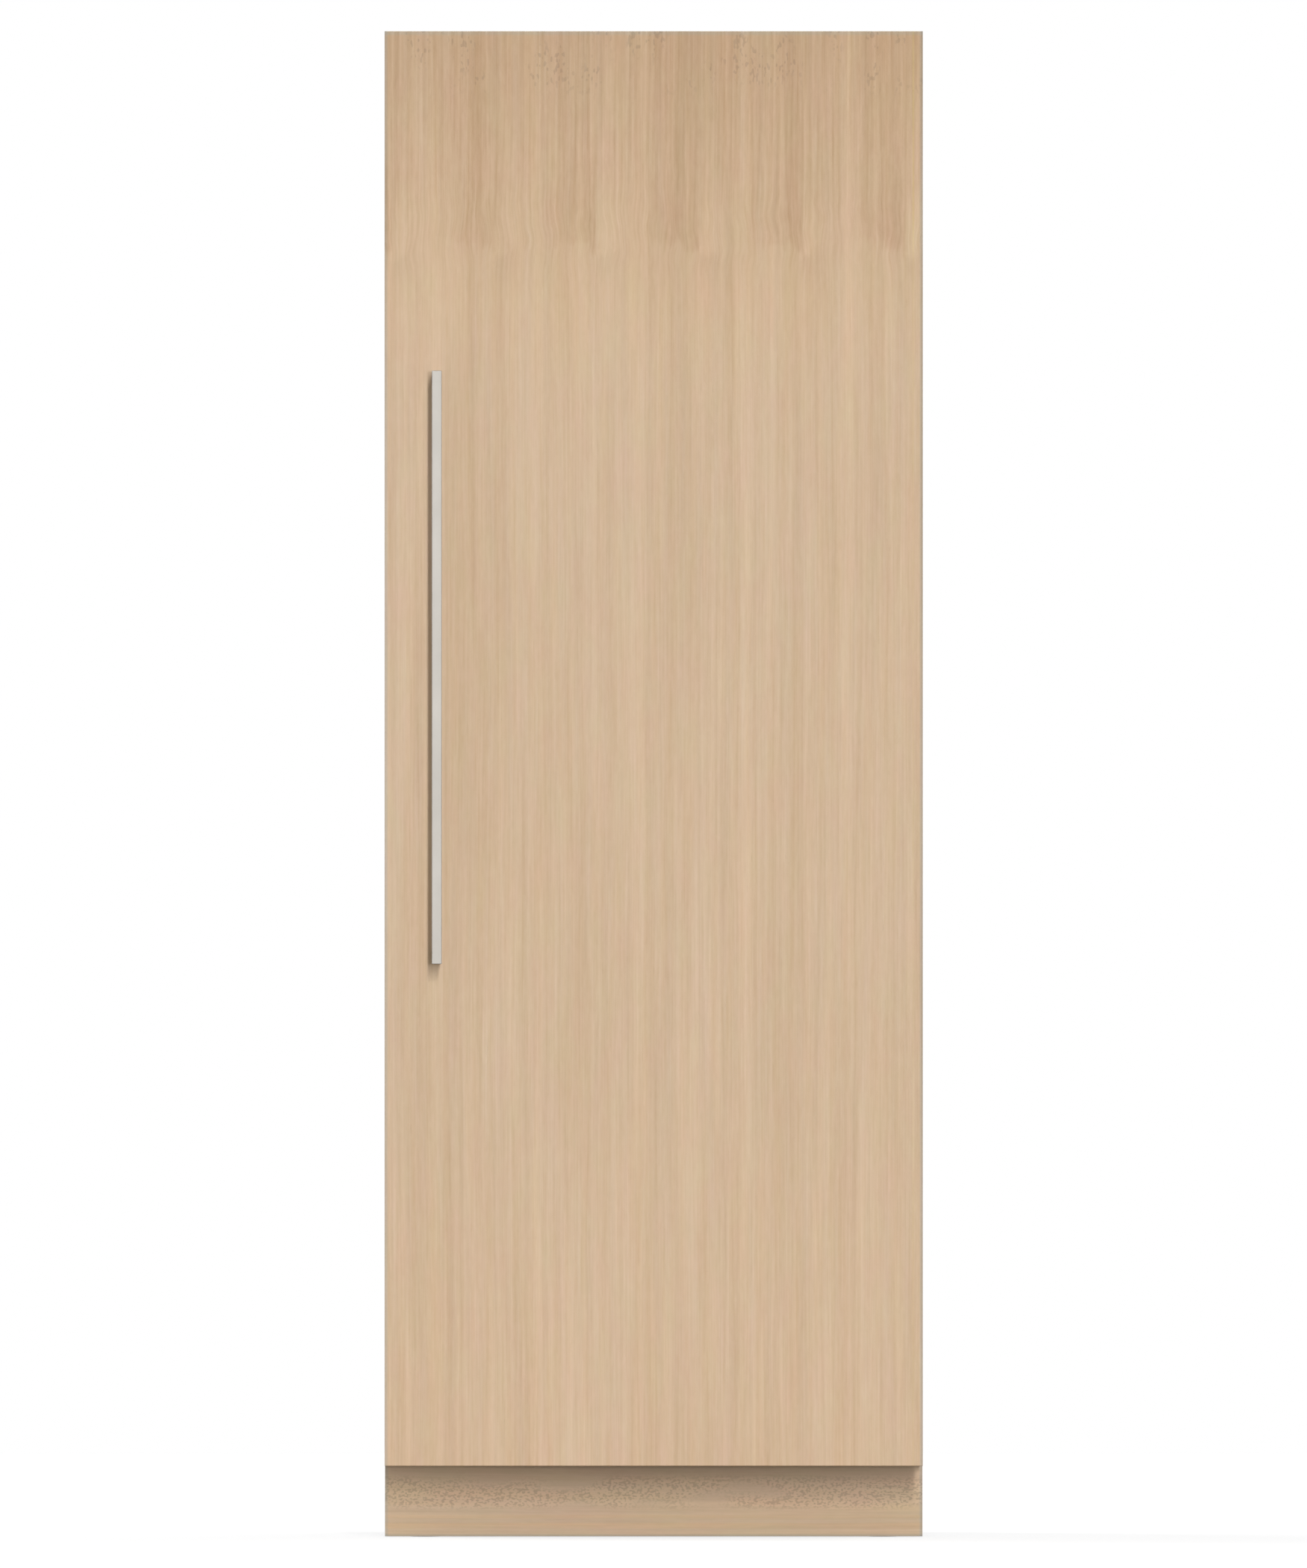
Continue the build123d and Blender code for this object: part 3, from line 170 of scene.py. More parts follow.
def wood(name, upright, base):
    g = Mat(name)
    u, w = (g.x, g.z) if upright else (g.z, g.x)
    half = lambda v: g.math("SUBTRACT", v, 0.5)
    drift = g.noise(g.vec(g.mul(u, 4.0), g.mul(g.y, 4.0), g.mul(w, 1.1)), detail=1.0)
    uw = g.add(u, g.mul(half(drift), 0.010))
    if upright:
        # the lines swirl a little where the figure of each leaf curls
        zone = g.mul(g.ramp(w, 1.775, 1.825, smooth=True), g.ramp(w, 1.925, 1.855, smooth=True))
        swirl = g.noise(g.vec(g.mul(u, 22.0), 0.0, g.mul(w, 15.0)), detail=1.0)
        uw = g.add(uw, g.mul(g.mul(half(swirl), zone), 0.020))

    def grain(across, along, detail=2.0, rough=0.5, shift=0.0):
        return g.noise(
            g.vec(g.add(g.mul(uw, across), shift), g.mul(g.y, across), g.mul(w, along)),
            detail=detail,
            rough=rough,
        )

    hair = grain(1500.0, 16.0, 3.0, 0.6)
    fine = grain(430.0, 7.0, 2.0, 0.6, 7.0)
    short = grain(210.0, 42.0, 2.0, 0.6, 11.0)
    medium = grain(118.0, 2.4, 2.0, 0.6, 3.0)
    wide = grain(40.0, 0.9, 2.0, 0.6, 17.0)
    broad = grain(12.0, 0.5, 1.0, 0.5, 5.0)
    cloud = g.noise(g.vec(g.mul(u, 30.0), g.mul(g.y, 30.0), g.mul(w, 7.0)), detail=2.0)
    streaks = slow = 0.0
    for v, amount in ((hair, HAIR), (fine, FINE), (short, SHORT), (medium, MEDIUM)):
        streaks = g.add(streaks, g.mul(half(v), amount))
    for v, amount in ((wide, WIDE), (broad, BROAD), (cloud, CLOUD)):
        slow = g.add(slow, g.mul(half(v), amount))
    # darker streaks are also yellower; the upper end of the sheet is plainer in colour
    colour = base
    shades = (1.0, 1.34, 2.02) if upright else (1.0, 1.12, 1.30)
    if upright:
        # leaves of veneer, each darker towards its right edge, with a curled end of the figure
        place = g.math("DIVIDE", g.math("SUBTRACT", g.add(u, g.mul(half(drift), 0.004)), LEAF0), LEAF)
        leaf = g.math("FRACT", place)
        number = g.math("FLOOR", place)
        jitter = g.noise(g.vec(g.mul(number, 3.7), 0.0, 0.0), detail=0.0)
        wisp = grain(150.0, 9.0, 2.0, 0.6, 41.0)
        ragged = g.noise(g.vec(g.mul(u, 34.0), 0.0, g.mul(w, 26.0)), detail=2.0)
        rise = g.add(
            g.ramp(leaf, 0.45, 0.52, 0.0, 0.30, smooth=True), g.ramp(leaf, 0.50, 0.97, 0.0, 0.70)
        )
        close = g.ramp(w, 1.86, 2.00, 0.020, 0.10)  # how soft the edge at the seam is
        fall = g.math("DIVIDE", g.math("SUBTRACT", 1.0, leaf), close, clamp=True)
        foot = g.add(
            g.add(1.8200, g.mul(half(jitter), 0.010)),
            g.add(
                g.mul(half(wisp), 0.050),
                g.add(g.mul(half(ragged), 0.045), g.ramp(leaf, 0.5, 1.0, 0.014, 0.0)),
            ),
        )
        over = g.ramp(g.math("SUBTRACT", w, foot), -0.005, 0.012, smooth=True)
        strength = g.add(g.ramp(w, 2.12, 1.95, 0.16, 0.36), g.ramp(w, 1.96, 1.860, 0.0, 0.56, smooth=True))
        band = g.mul(g.mul(rise, fall), g.mul(over, strength))
        band = g.mul(band, g.add(0.62, g.mul(wisp, 0.76)))
        colour = g.mix(band, colour, g.mix(1.0, colour, (0.910, 0.858, 0.815, 1.0), "MULTIPLY"))
        # pale flame beside each seam, at the same height, and the small curl under the tip
        near = g.mul(g.ramp(leaf, 0.0, 0.03, smooth=True), g.ramp(leaf, 0.40, 0.06, smooth=True))
        lift = g.add(g.mul(half(ragged), 0.05), g.mul(half(wisp), 0.03))
        lobe = g.mul(
            g.ramp(g.add(w, g.add(lift, g.mul(leaf, -0.045))), 1.812, 1.824, smooth=True),
            g.ramp(g.add(w, lift), 1.925, 1.855, smooth=True),
        )
        colour = g.mix(g.mul(near, lobe), colour, g.mix(1.0, colour, (1.040, 1.050, 1.062, 1.0), "MULTIPLY"))
        beside = g.math("ABSOLUTE", half(g.math("FRACT", g.add(place, 0.47))))
        curl = g.mul(
            g.ramp(beside, 0.10, 0.02, smooth=True),
            g.ramp(g.math("ABSOLUTE", g.math("SUBTRACT", g.add(w, lift), 1.8165)), 0.010, 0.002, smooth=True),
        )
        colour = g.mix(g.mul(curl, 0.9), colour, g.mix(1.0, colour, (1.045, 1.055, 1.065, 1.0), "MULTIPLY"))
        streak = g.mul(g.ramp(leaf, 0.30, 0.42, smooth=True), g.ramp(leaf, 0.51, 0.46, smooth=True))
        colour = g.mix(streak, colour, g.mix(1.0, colour, (1.034, 1.036, 1.040, 1.0), "MULTIPLY"))
        below = g.mul(g.ramp(leaf, 0.26, 0.10, smooth=True), g.mul(g.ramp(w, 1.77, 1.80), g.ramp(w, 1.822, 1.812)))
        colour = g.mix(below, colour, g.mix(1.0, colour, (0.965, 0.960, 0.955, 1.0), "MULTIPLY"))
        # more contrast in the upper part and inside the dark columns
        gain = g.add(g.ramp(w, 1.78, 1.95, 1.0, UPPER, smooth=True), g.mul(band, 0.7))
        streaks = g.mul(streaks, gain)
        # evenly spaced growth lines, clearest in the upper part
        sway = g.noise(g.vec(g.mul(u, 26.0), 0.0, g.mul(w, 3.2)), detail=2.0)
        lines = g.math("SINE", g.add(g.mul(uw, 661.0), g.mul(sway, 16.0)))
        clear_at = g.mul(g.ramp(w, 1.76, 2.00, 0.012, 0.062), g.ramp(wisp, 0.30, 0.62, 0.3, 1.0))
        streaks = g.add(streaks, g.mul(lines, g.mul(clear_at, 0.5)))
        slow = g.mul(slow, g.ramp(w, 1.80, 1.95, 1.0, 0.85))
        # thin greenish line near the right edge
        line = g.mul(
            g.ramp(g.math("ABSOLUTE", g.math("SUBTRACT", g.x, 0.3676)), 0.0020, 0.0006, smooth=True),
            g.ramp(w, 1.80, 1.88, 0.25, 0.9),
        )
        colour = g.mix(line, colour, g.mix(1.0, colour, (1.02, 1.05, 0.86, 1.0), "MULTIPLY"))
    streaks = g.add(streaks, slow)
    spread = g.n("VectorMath", operation="MULTIPLY_ADD")
    g.put(spread.inputs[0], g.vec(streaks, streaks, streaks))
    spread.inputs[1].default_value = shades
    spread.inputs[2].default_value = (1.0, 1.0, 1.0)
    colour = g.mix(1.0, colour, spread.outputs[0], "MULTIPLY")
    # colour drifts between pinker and yellower, greener and redder streaks
    warm = half(grain(62.0, 2.6, 2.0, 0.6, 31.0))
    hue = half(g.noise(g.vec(g.add(g.mul(u, 34.0), 9.0), g.mul(g.y, 34.0), g.mul(w, 11.0)), detail=2.0))
    turn = g.vec(
        g.add(1.0, g.add(g.mul(warm, 0.085), g.mul(hue, 0.052))),
        g.add(1.0, g.add(g.mul(warm, 0.028), g.mul(hue, -0.090))),
        g.add(1.0, g.add(g.mul(warm, -0.112), g.mul(hue, 0.032))),
    )
    colour = g.mix(1.0, colour, turn, "MULTIPLY")
    # thin open pores, darker and a little sunken
    pore = g.ramp(grain(950.0, 34.0, 2.0, 0.6, 19.0), 0.66, 0.76, smooth=True)
    patch = g.ramp(grain(40.0, 1.7, 1.0, 0.5, 23.0), 0.45, 0.62, smooth=True)
    pore = g.mul(pore, patch)
    if upright:
        dots = g.ramp(grain(300.0, 150.0, 0.0, 0.5, 53.0), 0.60, 0.70, smooth=True)
        where = g.ramp(grain(20.0, 9.0, 1.0, 0.5, 59.0), 0.46, 0.55, smooth=True)
        dots = g.mul(g.mul(dots, where), g.ramp(w, 2.03, 2.075, smooth=True))
    else:
        dots = g.ramp(grain(390.0, 270.0, 0.0, 0.5, 53.0), 0.46, 0.66, smooth=True)
        where = g.ramp(grain(24.0, 7.0, 1.0, 0.5, 59.0), 0.36, 0.56, smooth=True)
        rows = g.mul(g.ramp(g.z, 0.036, 0.048, smooth=True), g.ramp(g.z, 0.092, 0.076, smooth=True))
        dots = g.mul(g.mul(g.add(g.mul(dots, 1.65), -0.40), where), rows)
        colour = g.mix(g.mul(where, g.mul(rows, 0.7)), colour, g.mix(1.0, colour, (1.020, 0.990, 0.955, 1.0), "MULTIPLY"))
        # warmer lines towards the lower edge
        run = g.ramp(grain(70.0, 1.6, 1.0, 0.5, 61.0), 0.40, 0.60, smooth=True)
        orange = g.mul(g.ramp(g.z, 0.0105, 0.0135, smooth=True), g.ramp(g.z, 0.0215, 0.0175, smooth=True))
        orange = g.mul(orange, g.add(0.45, g.mul(run, 0.65)))
        colour = g.mix(orange, colour, g.mix(1.0, colour, (1.055, 1.00, 0.925, 1.0), "MULTIPLY"))
        second = g.mul(g.ramp(g.z, 0.0255, 0.0275, smooth=True), g.ramp(g.z, 0.0325, 0.0300, smooth=True))
        colour = g.mix(g.mul(second, run), colour, g.mix(1.0, colour, (1.03, 1.00, 0.95, 1.0), "MULTIPLY"))
    colour = g.tint(colour, g.math("SUBTRACT", 1.0, g.add(g.mul(pore, 0.13), g.mul(dots, 0.17))))
    if upright:
        # soft seam lines, and the darker, warmer upper end of the sheet
        seam = g.ramp(g.math("ABSOLUTE", half(leaf)), 0.4935, 0.499, smooth=True)
        colour = g.mix(g.mul(seam, 0.16), colour, g.mix(1.0, colour, (0.86, 0.84, 0.82, 1.0), "MULTIPLY"))
        yellow = g.ramp(w, 1.64, 1.76)
        colour = g.mix(yellow, colour, g.mix(1.0, colour, (1.006, 0.990, 0.955, 1.0), "MULTIPLY"))
        top = g.ramp(w, 1.74, 2.134)
        colour = g.mix(top, colour, g.mix(1.0, colour, TOP, "MULTIPLY"))
        low = g.ramp(w, 0.62, 0.12)
        colour = g.mix(low, colour, g.mix(1.0, colour, LOW, "MULTIPLY"))
        # painted shade: the thin band along the top edge is greyer than the face, standing in for the shading of its
        # eased edge
        painted_edge_shade_top = g.ramp(g.z, 2.1265, 2.1315, smooth=True)
        colour = g.mix(painted_edge_shade_top, colour, g.mix(1.0, colour, (0.905, 1.045, 1.21, 1.0), "MULTIPLY"))
    else:
        # painted shade: a thin blue-grey darker line along the lower edge, where the plinth meets the floor
        foot = g.ramp(g.z, 0.0052, 0.0030, smooth=True)
        colour = g.mix(foot, colour, g.mix(1.0, colour, (0.83, 0.92, 1.02, 1.0), "MULTIPLY"))
    # painted shade: thin greyer bands along the left and right edges stand in for the shading of the eased edges; the
    # right one is darker still
    painted_edge_shade_sides = g.ramp(g.math("ABSOLUTE", g.x), 0.3755, 0.3785, smooth=True)
    colour = g.mix(painted_edge_shade_sides, colour, g.mix(1.0, colour, (0.838, 0.935, 1.075, 1.0), "MULTIPLY"))
    right = g.ramp(g.x, 0.3775, 0.3795, smooth=True)
    colour = g.mix(right, colour, g.mix(1.0, colour, (0.88, 0.875, 0.88, 1.0), "MULTIPLY"))
    rough = g.add(g.ramp(medium, 0.3, 0.7, 0.44, 0.54), g.mul(pore, 0.12))
    relief = g.math("SUBTRACT", g.add(g.mul(hair, 0.5), g.mul(fine, 0.5)), g.mul(pore, 0.9))
    return g.shade(
        Base_Color=colour,
        Roughness=rough,
        Specular_IOR_Level=0.32,
        Coat_Weight=0.10,
        Coat_Roughness=0.38,
        Normal=g.bump(relief, 0.16, 0.00025),
    )


# share of each band of the figure, from the finest to the broadest
HAIR, FINE, SHORT, MEDIUM, WIDE, BROAD, CLOUD = 0.08, 0.16, 0.11, 0.27, 0.155, 0.105, 0.05
UPPER = 1.40
TOP = (0.846, 0.790, 0.734, 1.0)
LOW = (1.055, 1.040, 1.030, 1.0)
dress(wood("veneer_upright", True, (0.566, 0.402, 0.253, 1.0)), "door_panel")
dress(wood("veneer_level", False, (0.556, 0.394, 0.247, 1.0)), "kick_panel")

# ------------------------------------------------------------------ metals


def brushed(name, base, dark, along, rough=(0.3, 0.42), metal=1.0, strength=0.12, smudge=0.04):
    """Metal with fine parallel scratches along one axis, faint smudges and a little tone drift."""
    g = Mat(name)
    k = {"x": (2.0, 1400.0, 1400.0), "y": (1400.0, 2.0, 1400.0), "z": (1400.0, 1400.0, 2.0)}[along]
    k2 = {"x": (0.6, 260.0, 260.0), "y": (260.0, 0.6, 260.0), "z": (260.0, 260.0, 0.6)}[along]
    lines = g.noise(g.scaled(*k), detail=3.0, rough=0.65)
    bands = g.noise(g.scaled(*k2), detail=2.0)
    blur = g.noise(g.co, 9.0, 3.0, 0.6, 0.3)
    f = g.math("ADD", g.mul(lines, 0.6), g.mul(bands, 0.4))
    colour = g.mix(g.ramp(f, 0.3, 0.7), dark, base)
    colour = g.tint(colour, g.add(1.0 - smudge / 2, g.mul(blur, smudge)))
    r = g.add(g.ramp(f, 0.3, 0.7, rough[0], rough[1]), g.mul(g.math("SUBTRACT", blur, 0.5), 0.10))
    return g.shade(
        Base_Color=colour, Metallic=metal, Roughness=r, Normal=g.bump(lines, strength, 0.00006)
    )


def painted(name, base, rough=0.45, peel=420.0, strength=0.12, coat=0.0, dust=0.05, metal=0.0, spec=0.5):
    """Sprayed or powder-coated sheet: orange peel, faint mottling and dust that settles low."""
    g = Mat(name)
    peel_h = g.noise(g.co, peel, 3.0, 0.55)
    mottle = g.noise(g.co, 7.0, 4.0, 0.6, 0.5)
    speck = g.ramp(g.noise(g.co, 1500.0, 1.0), 0.70, 0.78)
    low = g.ramp(g.z, 0.35, 0.02, 0.0, 1.0, smooth=True)
    colour = g.tint(base, g.add(0.965, g.mul(mottle, 0.07)))
    colour = g.mix(g.mul(speck, 0.10), colour, (0.35, 0.34, 0.32, 1.0))
    colour = g.mix(g.mul(g.mul(low, mottle), dust * 4), colour, (0.34, 0.31, 0.27, 1.0))
    r = g.add(g.ramp(mottle, 0.3, 0.7, rough - 0.04, rough + 0.06), g.mul(low, 0.08))
    return g.shade(
        Base_Color=colour,
        Metallic=metal,
        Roughness=r,
        Specular_IOR_Level=spec,
        Coat_Weight=coat,
        Coat_Roughness=0.2,
        Normal=g.bump(peel_h, strength, 0.00012),
    )


def galvanised(name, base, scale=150.0, rough=0.47):
    """Zinc-coated sheet with a crystal spangle, rolling lines and dull patches."""
    g = Mat(name)
    cell = g.n("TexVoronoi", feature="F1")
    g.put(cell.inputs["Vector"], g.co)
    cell.inputs["Scale"].default_value = scale
    shade_of = g.n("SeparateColor")
    g.put(shade_of.inputs[0], cell.outputs["Color"])
    tone = shade_of.outputs[0]
    roll = g.noise(g.scaled(4.0, 4.0, 300.0), detail=2.0)
    patch = g.noise(g.co, 5.0, 4.0, 0.6, 0.4)
    k = g.add(g.add(0.925, g.mul(tone, 0.06)), g.add(g.mul(roll, 0.04), g.mul(patch, 0.06)))
    colour = g.tint(base, k)
    r = g.add(g.ramp(tone, 0.0, 1.0, rough, rough + 0.08), g.mul(patch, 0.08))
    edge = g.voronoi(g.co, scale, "DISTANCE_TO_EDGE")
    return g.shade(
        Base_Color=colour,
        Metallic=0.72,
        Roughness=r,
        Normal=g.bump(g.ramp(edge, 0.0, 0.12), 0.05, 0.0001),
    )


def plastic(name, base, rough=0.4, grain=900.0, strength=0.10, spec=0.5, drift=0.05, coat=0.0):
    """Moulded plastic: fine spark-eroded texture, gentle tone drift and hairline scuffs."""
    g = Mat(name)
    fine = g.noise(g.co, grain, 2.0, 0.5)
    flow = g.noise(g.co, 6.0, 3.0, 0.5, 0.6)
    scuff = g.ramp(g.noise(g.scaled(14.0, 14.0, 420.0), detail=3.0, rough=0.7, warp=0.2), 0.64, 0.72)
    colour = g.tint(base, g.add(1.0 - drift / 2, g.mul(flow, drift)))
    colour = g.mix(g.mul(scuff, 0.06), colour, (0.5, 0.5, 0.5, 1.0))
    r = g.add(g.ramp(flow, 0.3, 0.7, rough - 0.03, rough + 0.05), g.mul(scuff, 0.10))
    return g.shade(
        Base_Color=colour,
        Roughness=r,
        Specular_IOR_Level=spec,
        Coat_Weight=coat,
        Coat_Roughness=0.15,
        Normal=g.bump(fine, strength, 0.00006),
    )


handle = brushed(
    "brushed_stainless_handle", lin(194, 190, 183), lin(181, 177, 171), "z", (0.58, 0.68), 0.90, 0.10, 0.03
)
dress(handle, "handle_bar", "handle_posts")
dress(painted("cabinet_coat", lin(172, 174, 176), 0.60, 380.0, 0.14, spec=0.25), "outer_wrapper")
dress(galvanised("zinc_sheet", lin(196, 198, 200)), "back_panel", "base_tray", "machine_cover")
dress(painted("door_shell_coat", lin(192, 193, 193), 0.55, 420.0, 0.12, spec=0.3), "door_skin")
dress(painted("face_frame_coat", lin(226, 226, 224), 0.30, 420.0, 0.08, 0.3), "front_frame")
dress(brushed("brushed_duct", lin(184, 185, 187), lin(152, 154, 157), "z", (0.54, 0.64), 0.62, 0.12), "air_duct_panel")
dress(
    galvanised("zinc_plate", lin(166, 166, 165), 260.0, 0.60),
    "fixing_brackets",
    "top_hinge_plate",
    "bottom_hinge_plate",
    "panel_brackets",
    "front_left_foot",
    "front_right_foot",
)
dress(brushed("turned_steel", lin(196, 196, 198), lin(160, 160, 163), "x", (0.25, 0.36), 1.0, 0.10), "hinge_pins", "cabinet_screws", "rear_axle")
dress(painted("compressor_enamel", lin(30, 30, 32), 0.32, 240.0, 0.25, 0.4, 0.06), "compressor")
dress(brushed("mill_aluminium", lin(196, 198, 200), lin(168, 170, 173), "z", (0.34, 0.48), 1.0, 0.08, 0.08), "condenser_coil", "evaporator_coil")


def copper(name):
    g = Mat(name)
    stain = g.noise(g.co, 38.0, 4.0, 0.6, 0.8)
    fine = g.noise(g.co, 700.0, 2.0)
    colour = g.mix(g.ramp(stain, 0.42, 0.68), lin(205, 132, 92), lin(118, 74, 56))
    return g.shade(
        Base_Color=colour,
        Metallic=1.0,
        Roughness=g.ramp(stain, 0.3, 0.7, 0.28, 0.5),
        Normal=g.bump(fine, 0.12, 0.00005),
    )


dress(copper("drawn_copper"), "refrigerant_pipes")

# ------------------------------------------------------------------ plastics, rubber, foam
dress(plastic("liner_abs", lin(236, 236, 233), 0.34, 620.0, 0.14, 0.5, 0.03, 0.15), "inner_liner", "door_liner")
dress(plastic("moulded_white", lin(228, 228, 226), 0.42, 900.0, 0.12, 0.45, 0.04), "shelf_rails", "drawer_runners", "control_panel")
dress(brushed("satin_trim", lin(188, 189, 192), lin(160, 162, 166), "x", (0.46, 0.56), 0.75, 0.08, 0.03), "shelf_1_frame", "shelf_2_frame", "shelf_3_frame")
dress(plastic("satin_buttons", lin(190, 192, 195), 0.3, 1200.0, 0.06, 0.5, 0.03, 0.3), "temp_down_button", "temp_up_button")
dress(plastic("fan_moulding", lin(38, 38, 41), 0.5, 700.0, 0.18), "condenser_fan_shroud", "condenser_fan", "evaporator_fan")
dress(plastic("pan_moulding", lin(52, 52, 55), 0.55, 600.0, 0.2), "drain_pan")
dress(plastic("box_moulding", lin(60, 61, 63), 0.5, 650.0, 0.2), "control_box", "power_inlet")
dress(plastic("nylon", lin(226, 223, 214), 0.45, 900.0, 0.1), "hinge_bushes", "humidity_slider")
dress(plastic("wheel_tread", lin(44, 44, 45), 0.6, 500.0, 0.25), "rear_left_wheel", "rear_right_wheel")


def rubber(name, base, scale=800.0, rough=0.72):
    g = Mat(name)
    fine = g.noise(g.co, scale, 3.0, 0.6)
    bloom = g.noise(g.co, 24.0, 4.0, 0.6, 0.6)
    colour = g.mix(g.ramp(bloom, 0.45, 0.75), base, g.tint(base, 1.18))
    return g.shade(
        Base_Color=colour,
        Roughness=g.ramp(bloom, 0.3, 0.7, rough - 0.06, rough + 0.08),
        Specular_IOR_Level=0.3,
        Normal=g.bump(fine, 0.25, 0.0001),
    )


dress(rubber("grommet_rubber", lin(34, 34, 35)), "compressor_mounts")
SEAL = rubber("seal_rubber", lin(186, 186, 184), 900.0, 0.55)


def foam(name):
    g = Mat(name)
    cell = g.voronoi(g.co, 900.0)
    big = g.voronoi(g.co, 160.0)
    blotch = g.noise(g.co, 12.0, 4.0, 0.6, 0.5)
    colour = g.mix(g.ramp(blotch, 0.3, 0.7), lin(226, 207, 148), lin(238, 226, 182))
    colour = g.tint(colour, g.ramp(cell, 0.0, 0.6, 0.82, 1.04))
    return g.shade(
        Base_Color=colour,
        Roughness=g.ramp(blotch, 0.3, 0.7, 0.8, 0.95),
        Specular_IOR_Level=0.2,
        Normal=g.bump(g.add(cell, g.mul(big, 0.5)), 0.5, 0.0006),
    )


dress(foam("rigid_foam"), "foam_insulation", "door_foam")


def clear(name, tint_colour, ior, rough, scratch=0.05, film=0.02):
    """Clear sheet or moulding with a faint film and hairline scratches in its gloss."""
    g = Mat(name)
    film_n = g.noise(g.co, 14.0, 4.0, 0.6, 0.5)
    hair = g.ramp(g.noise(g.scaled(900.0, 30.0, 60.0), detail=3.0, rough=0.7), 0.66, 0.74)
    colour = g.tint(tint_colour, g.ramp(film_n, 0.2, 0.8, 0.985, 1.0))
    r = g.add(g.ramp(film_n, 0.3, 0.7, rough, rough + film), g.mul(hair, scratch))
    return g.shade(
        Base_Color=colour,
        Roughness=r,
        IOR=ior,
        Transmission_Weight=1.0,
        Normal=g.bump(film_n, 0.04, 0.0004),
    )


dress(
    clear("tempered_glass", (0.90, 0.965, 0.945, 1.0), 1.52, 0.0, 0.03),
    "shelf_1_glass",
    "shelf_2_glass",
    "shelf_3_glass",
    "crisper_cover_glass",
)
dress(
    clear("clear_styrene", (0.955, 0.972, 0.985, 1.0), 1.45, 0.03, 0.05, 0.05),
    "door_bin_upper",
    "door_bin_middle",
    "door_bin_lower",
    "dairy_box",
    "dairy_lid",
    "crisper_drawer",
    "deli_drawer",
)


def opal(name):
    g = Mat(name)
    dots = g.ramp(g.math("PINGPONG", g.z, 0.0083), 0.0, 0.0083, 0.86, 1.0, smooth=True)
    haze = g.noise(g.co, 60.0, 3.0)
    colour = g.tint(lin(246, 247, 244), g.add(0.96, g.mul(haze, 0.05)))
    return g.shade(
        Base_Color=colour,
        Roughness=g.ramp(haze, 0.3, 0.7, 0.32, 0.42),
        Emission_Color=g.tint((1.0, 0.985, 0.955, 1.0), dots),
        Emission_Strength=1.6,
        Normal=g.bump(haze, 0.05, 0.0001),
    )


dress(opal("opal_lens"), "light_strips")


# ------------------------------------------------------------------ modelled pieces


def piece(name, bm, body, material, smooth=30.0):
    bmesh.ops.recalc_face_normals(bm, faces=bm.faces[:])
    me = bpy.data.meshes.new(name)
    bm.to_mesh(me)
    bm.free()
    o = bpy.data.objects.new(name, me)
    bpy.context.scene.collection.objects.link(o)
    me.materials.append(material)
    for p in me.polygons:
        p.use_smooth = True
    me.set_sharp_from_angle(angle=math.radians(smooth))
    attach(o, body)
    return o


def ring_sweep(bm, profile, corners, radius, steps=8):
    """Sweeps a closed (outward, y) profile round a rectangle in the XZ plane with rounded corners.
    corners = (x0, x1, z0, z1) of the profile's zero line."""
    x0, x1, z0, z1 = corners
    path = []
    for cx, cz, a0 in (
        (x1 - radius, z1 - radius, 0),
        (x0 + radius, z1 - radius, 90),
        (x0 + radius, z0 + radius, 180),
        (x1 - radius, z0 + radius, 270),
    ):
        for i in range(steps + 1):
            a = math.radians(a0 + 90 * i / steps)
            path.append((cx, cz, math.cos(a), math.sin(a)))
    loops = []
    for cx, cz, nx, nz in path:
        loops.append(
            [
                bm.verts.new(((cx + nx * (radius + o)) * MM, y * MM, (cz + nz * (radius + o)) * MM))
                for o, y in profile
            ]
        )
    n, m = len(loops), len(profile)
    for i in range(n):
        a, b = loops[i], loops[(i + 1) % n]
        for j in range(m):
            k = (j + 1) % m
            bm.faces.new((a[j], a[k], b[k], b[j]))


# the door seal: a retaining foot, a folded bellows and a magnet pocket
bm = bmesh.new()
rear = F - 8.0
seal = [
    (0.0, rear),
    (0.0, rear + 1.4),
    (-2.2, rear + 1.7),
    (-3.4, rear + 2.3),
    (-3.0, rear + 2.9),
    (-0.9, rear + 3.5),
    (-0.5, rear + 4.1),
    (-1.6, rear + 4.6),
    (-2.0, rear + 5.0),
    (-1.3, rear + 5.5),
    (-1.0, rear + 6.8),
    (-1.6, rear + 7.5),
    (-2.8, rear + 7.7),
    (-13.0, rear + 7.7),
    (-14.4, rear + 7.4),
    (-15.0, rear + 6.6),
    (-14.8, rear + 5.6),
    (-14.0, rear + 5.0),
    (-14.4, rear + 4.5),
    (-15.4, rear + 4.0),
    (-15.0, rear + 3.4),
    (-13.0, rear + 2.9),
    (-12.6, rear + 2.3),
    (-13.8, rear + 1.7),
    (-16.0, rear + 1.4),
    (-16.0, rear),
]
ring_sweep(bm, seal, (-352.0, 352.0, 131.0, 2073.0), 18.0, 6)
bellows = piece("door_seal_bellows", bm, "door", SEAL, 40.0)
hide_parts("door_gasket")


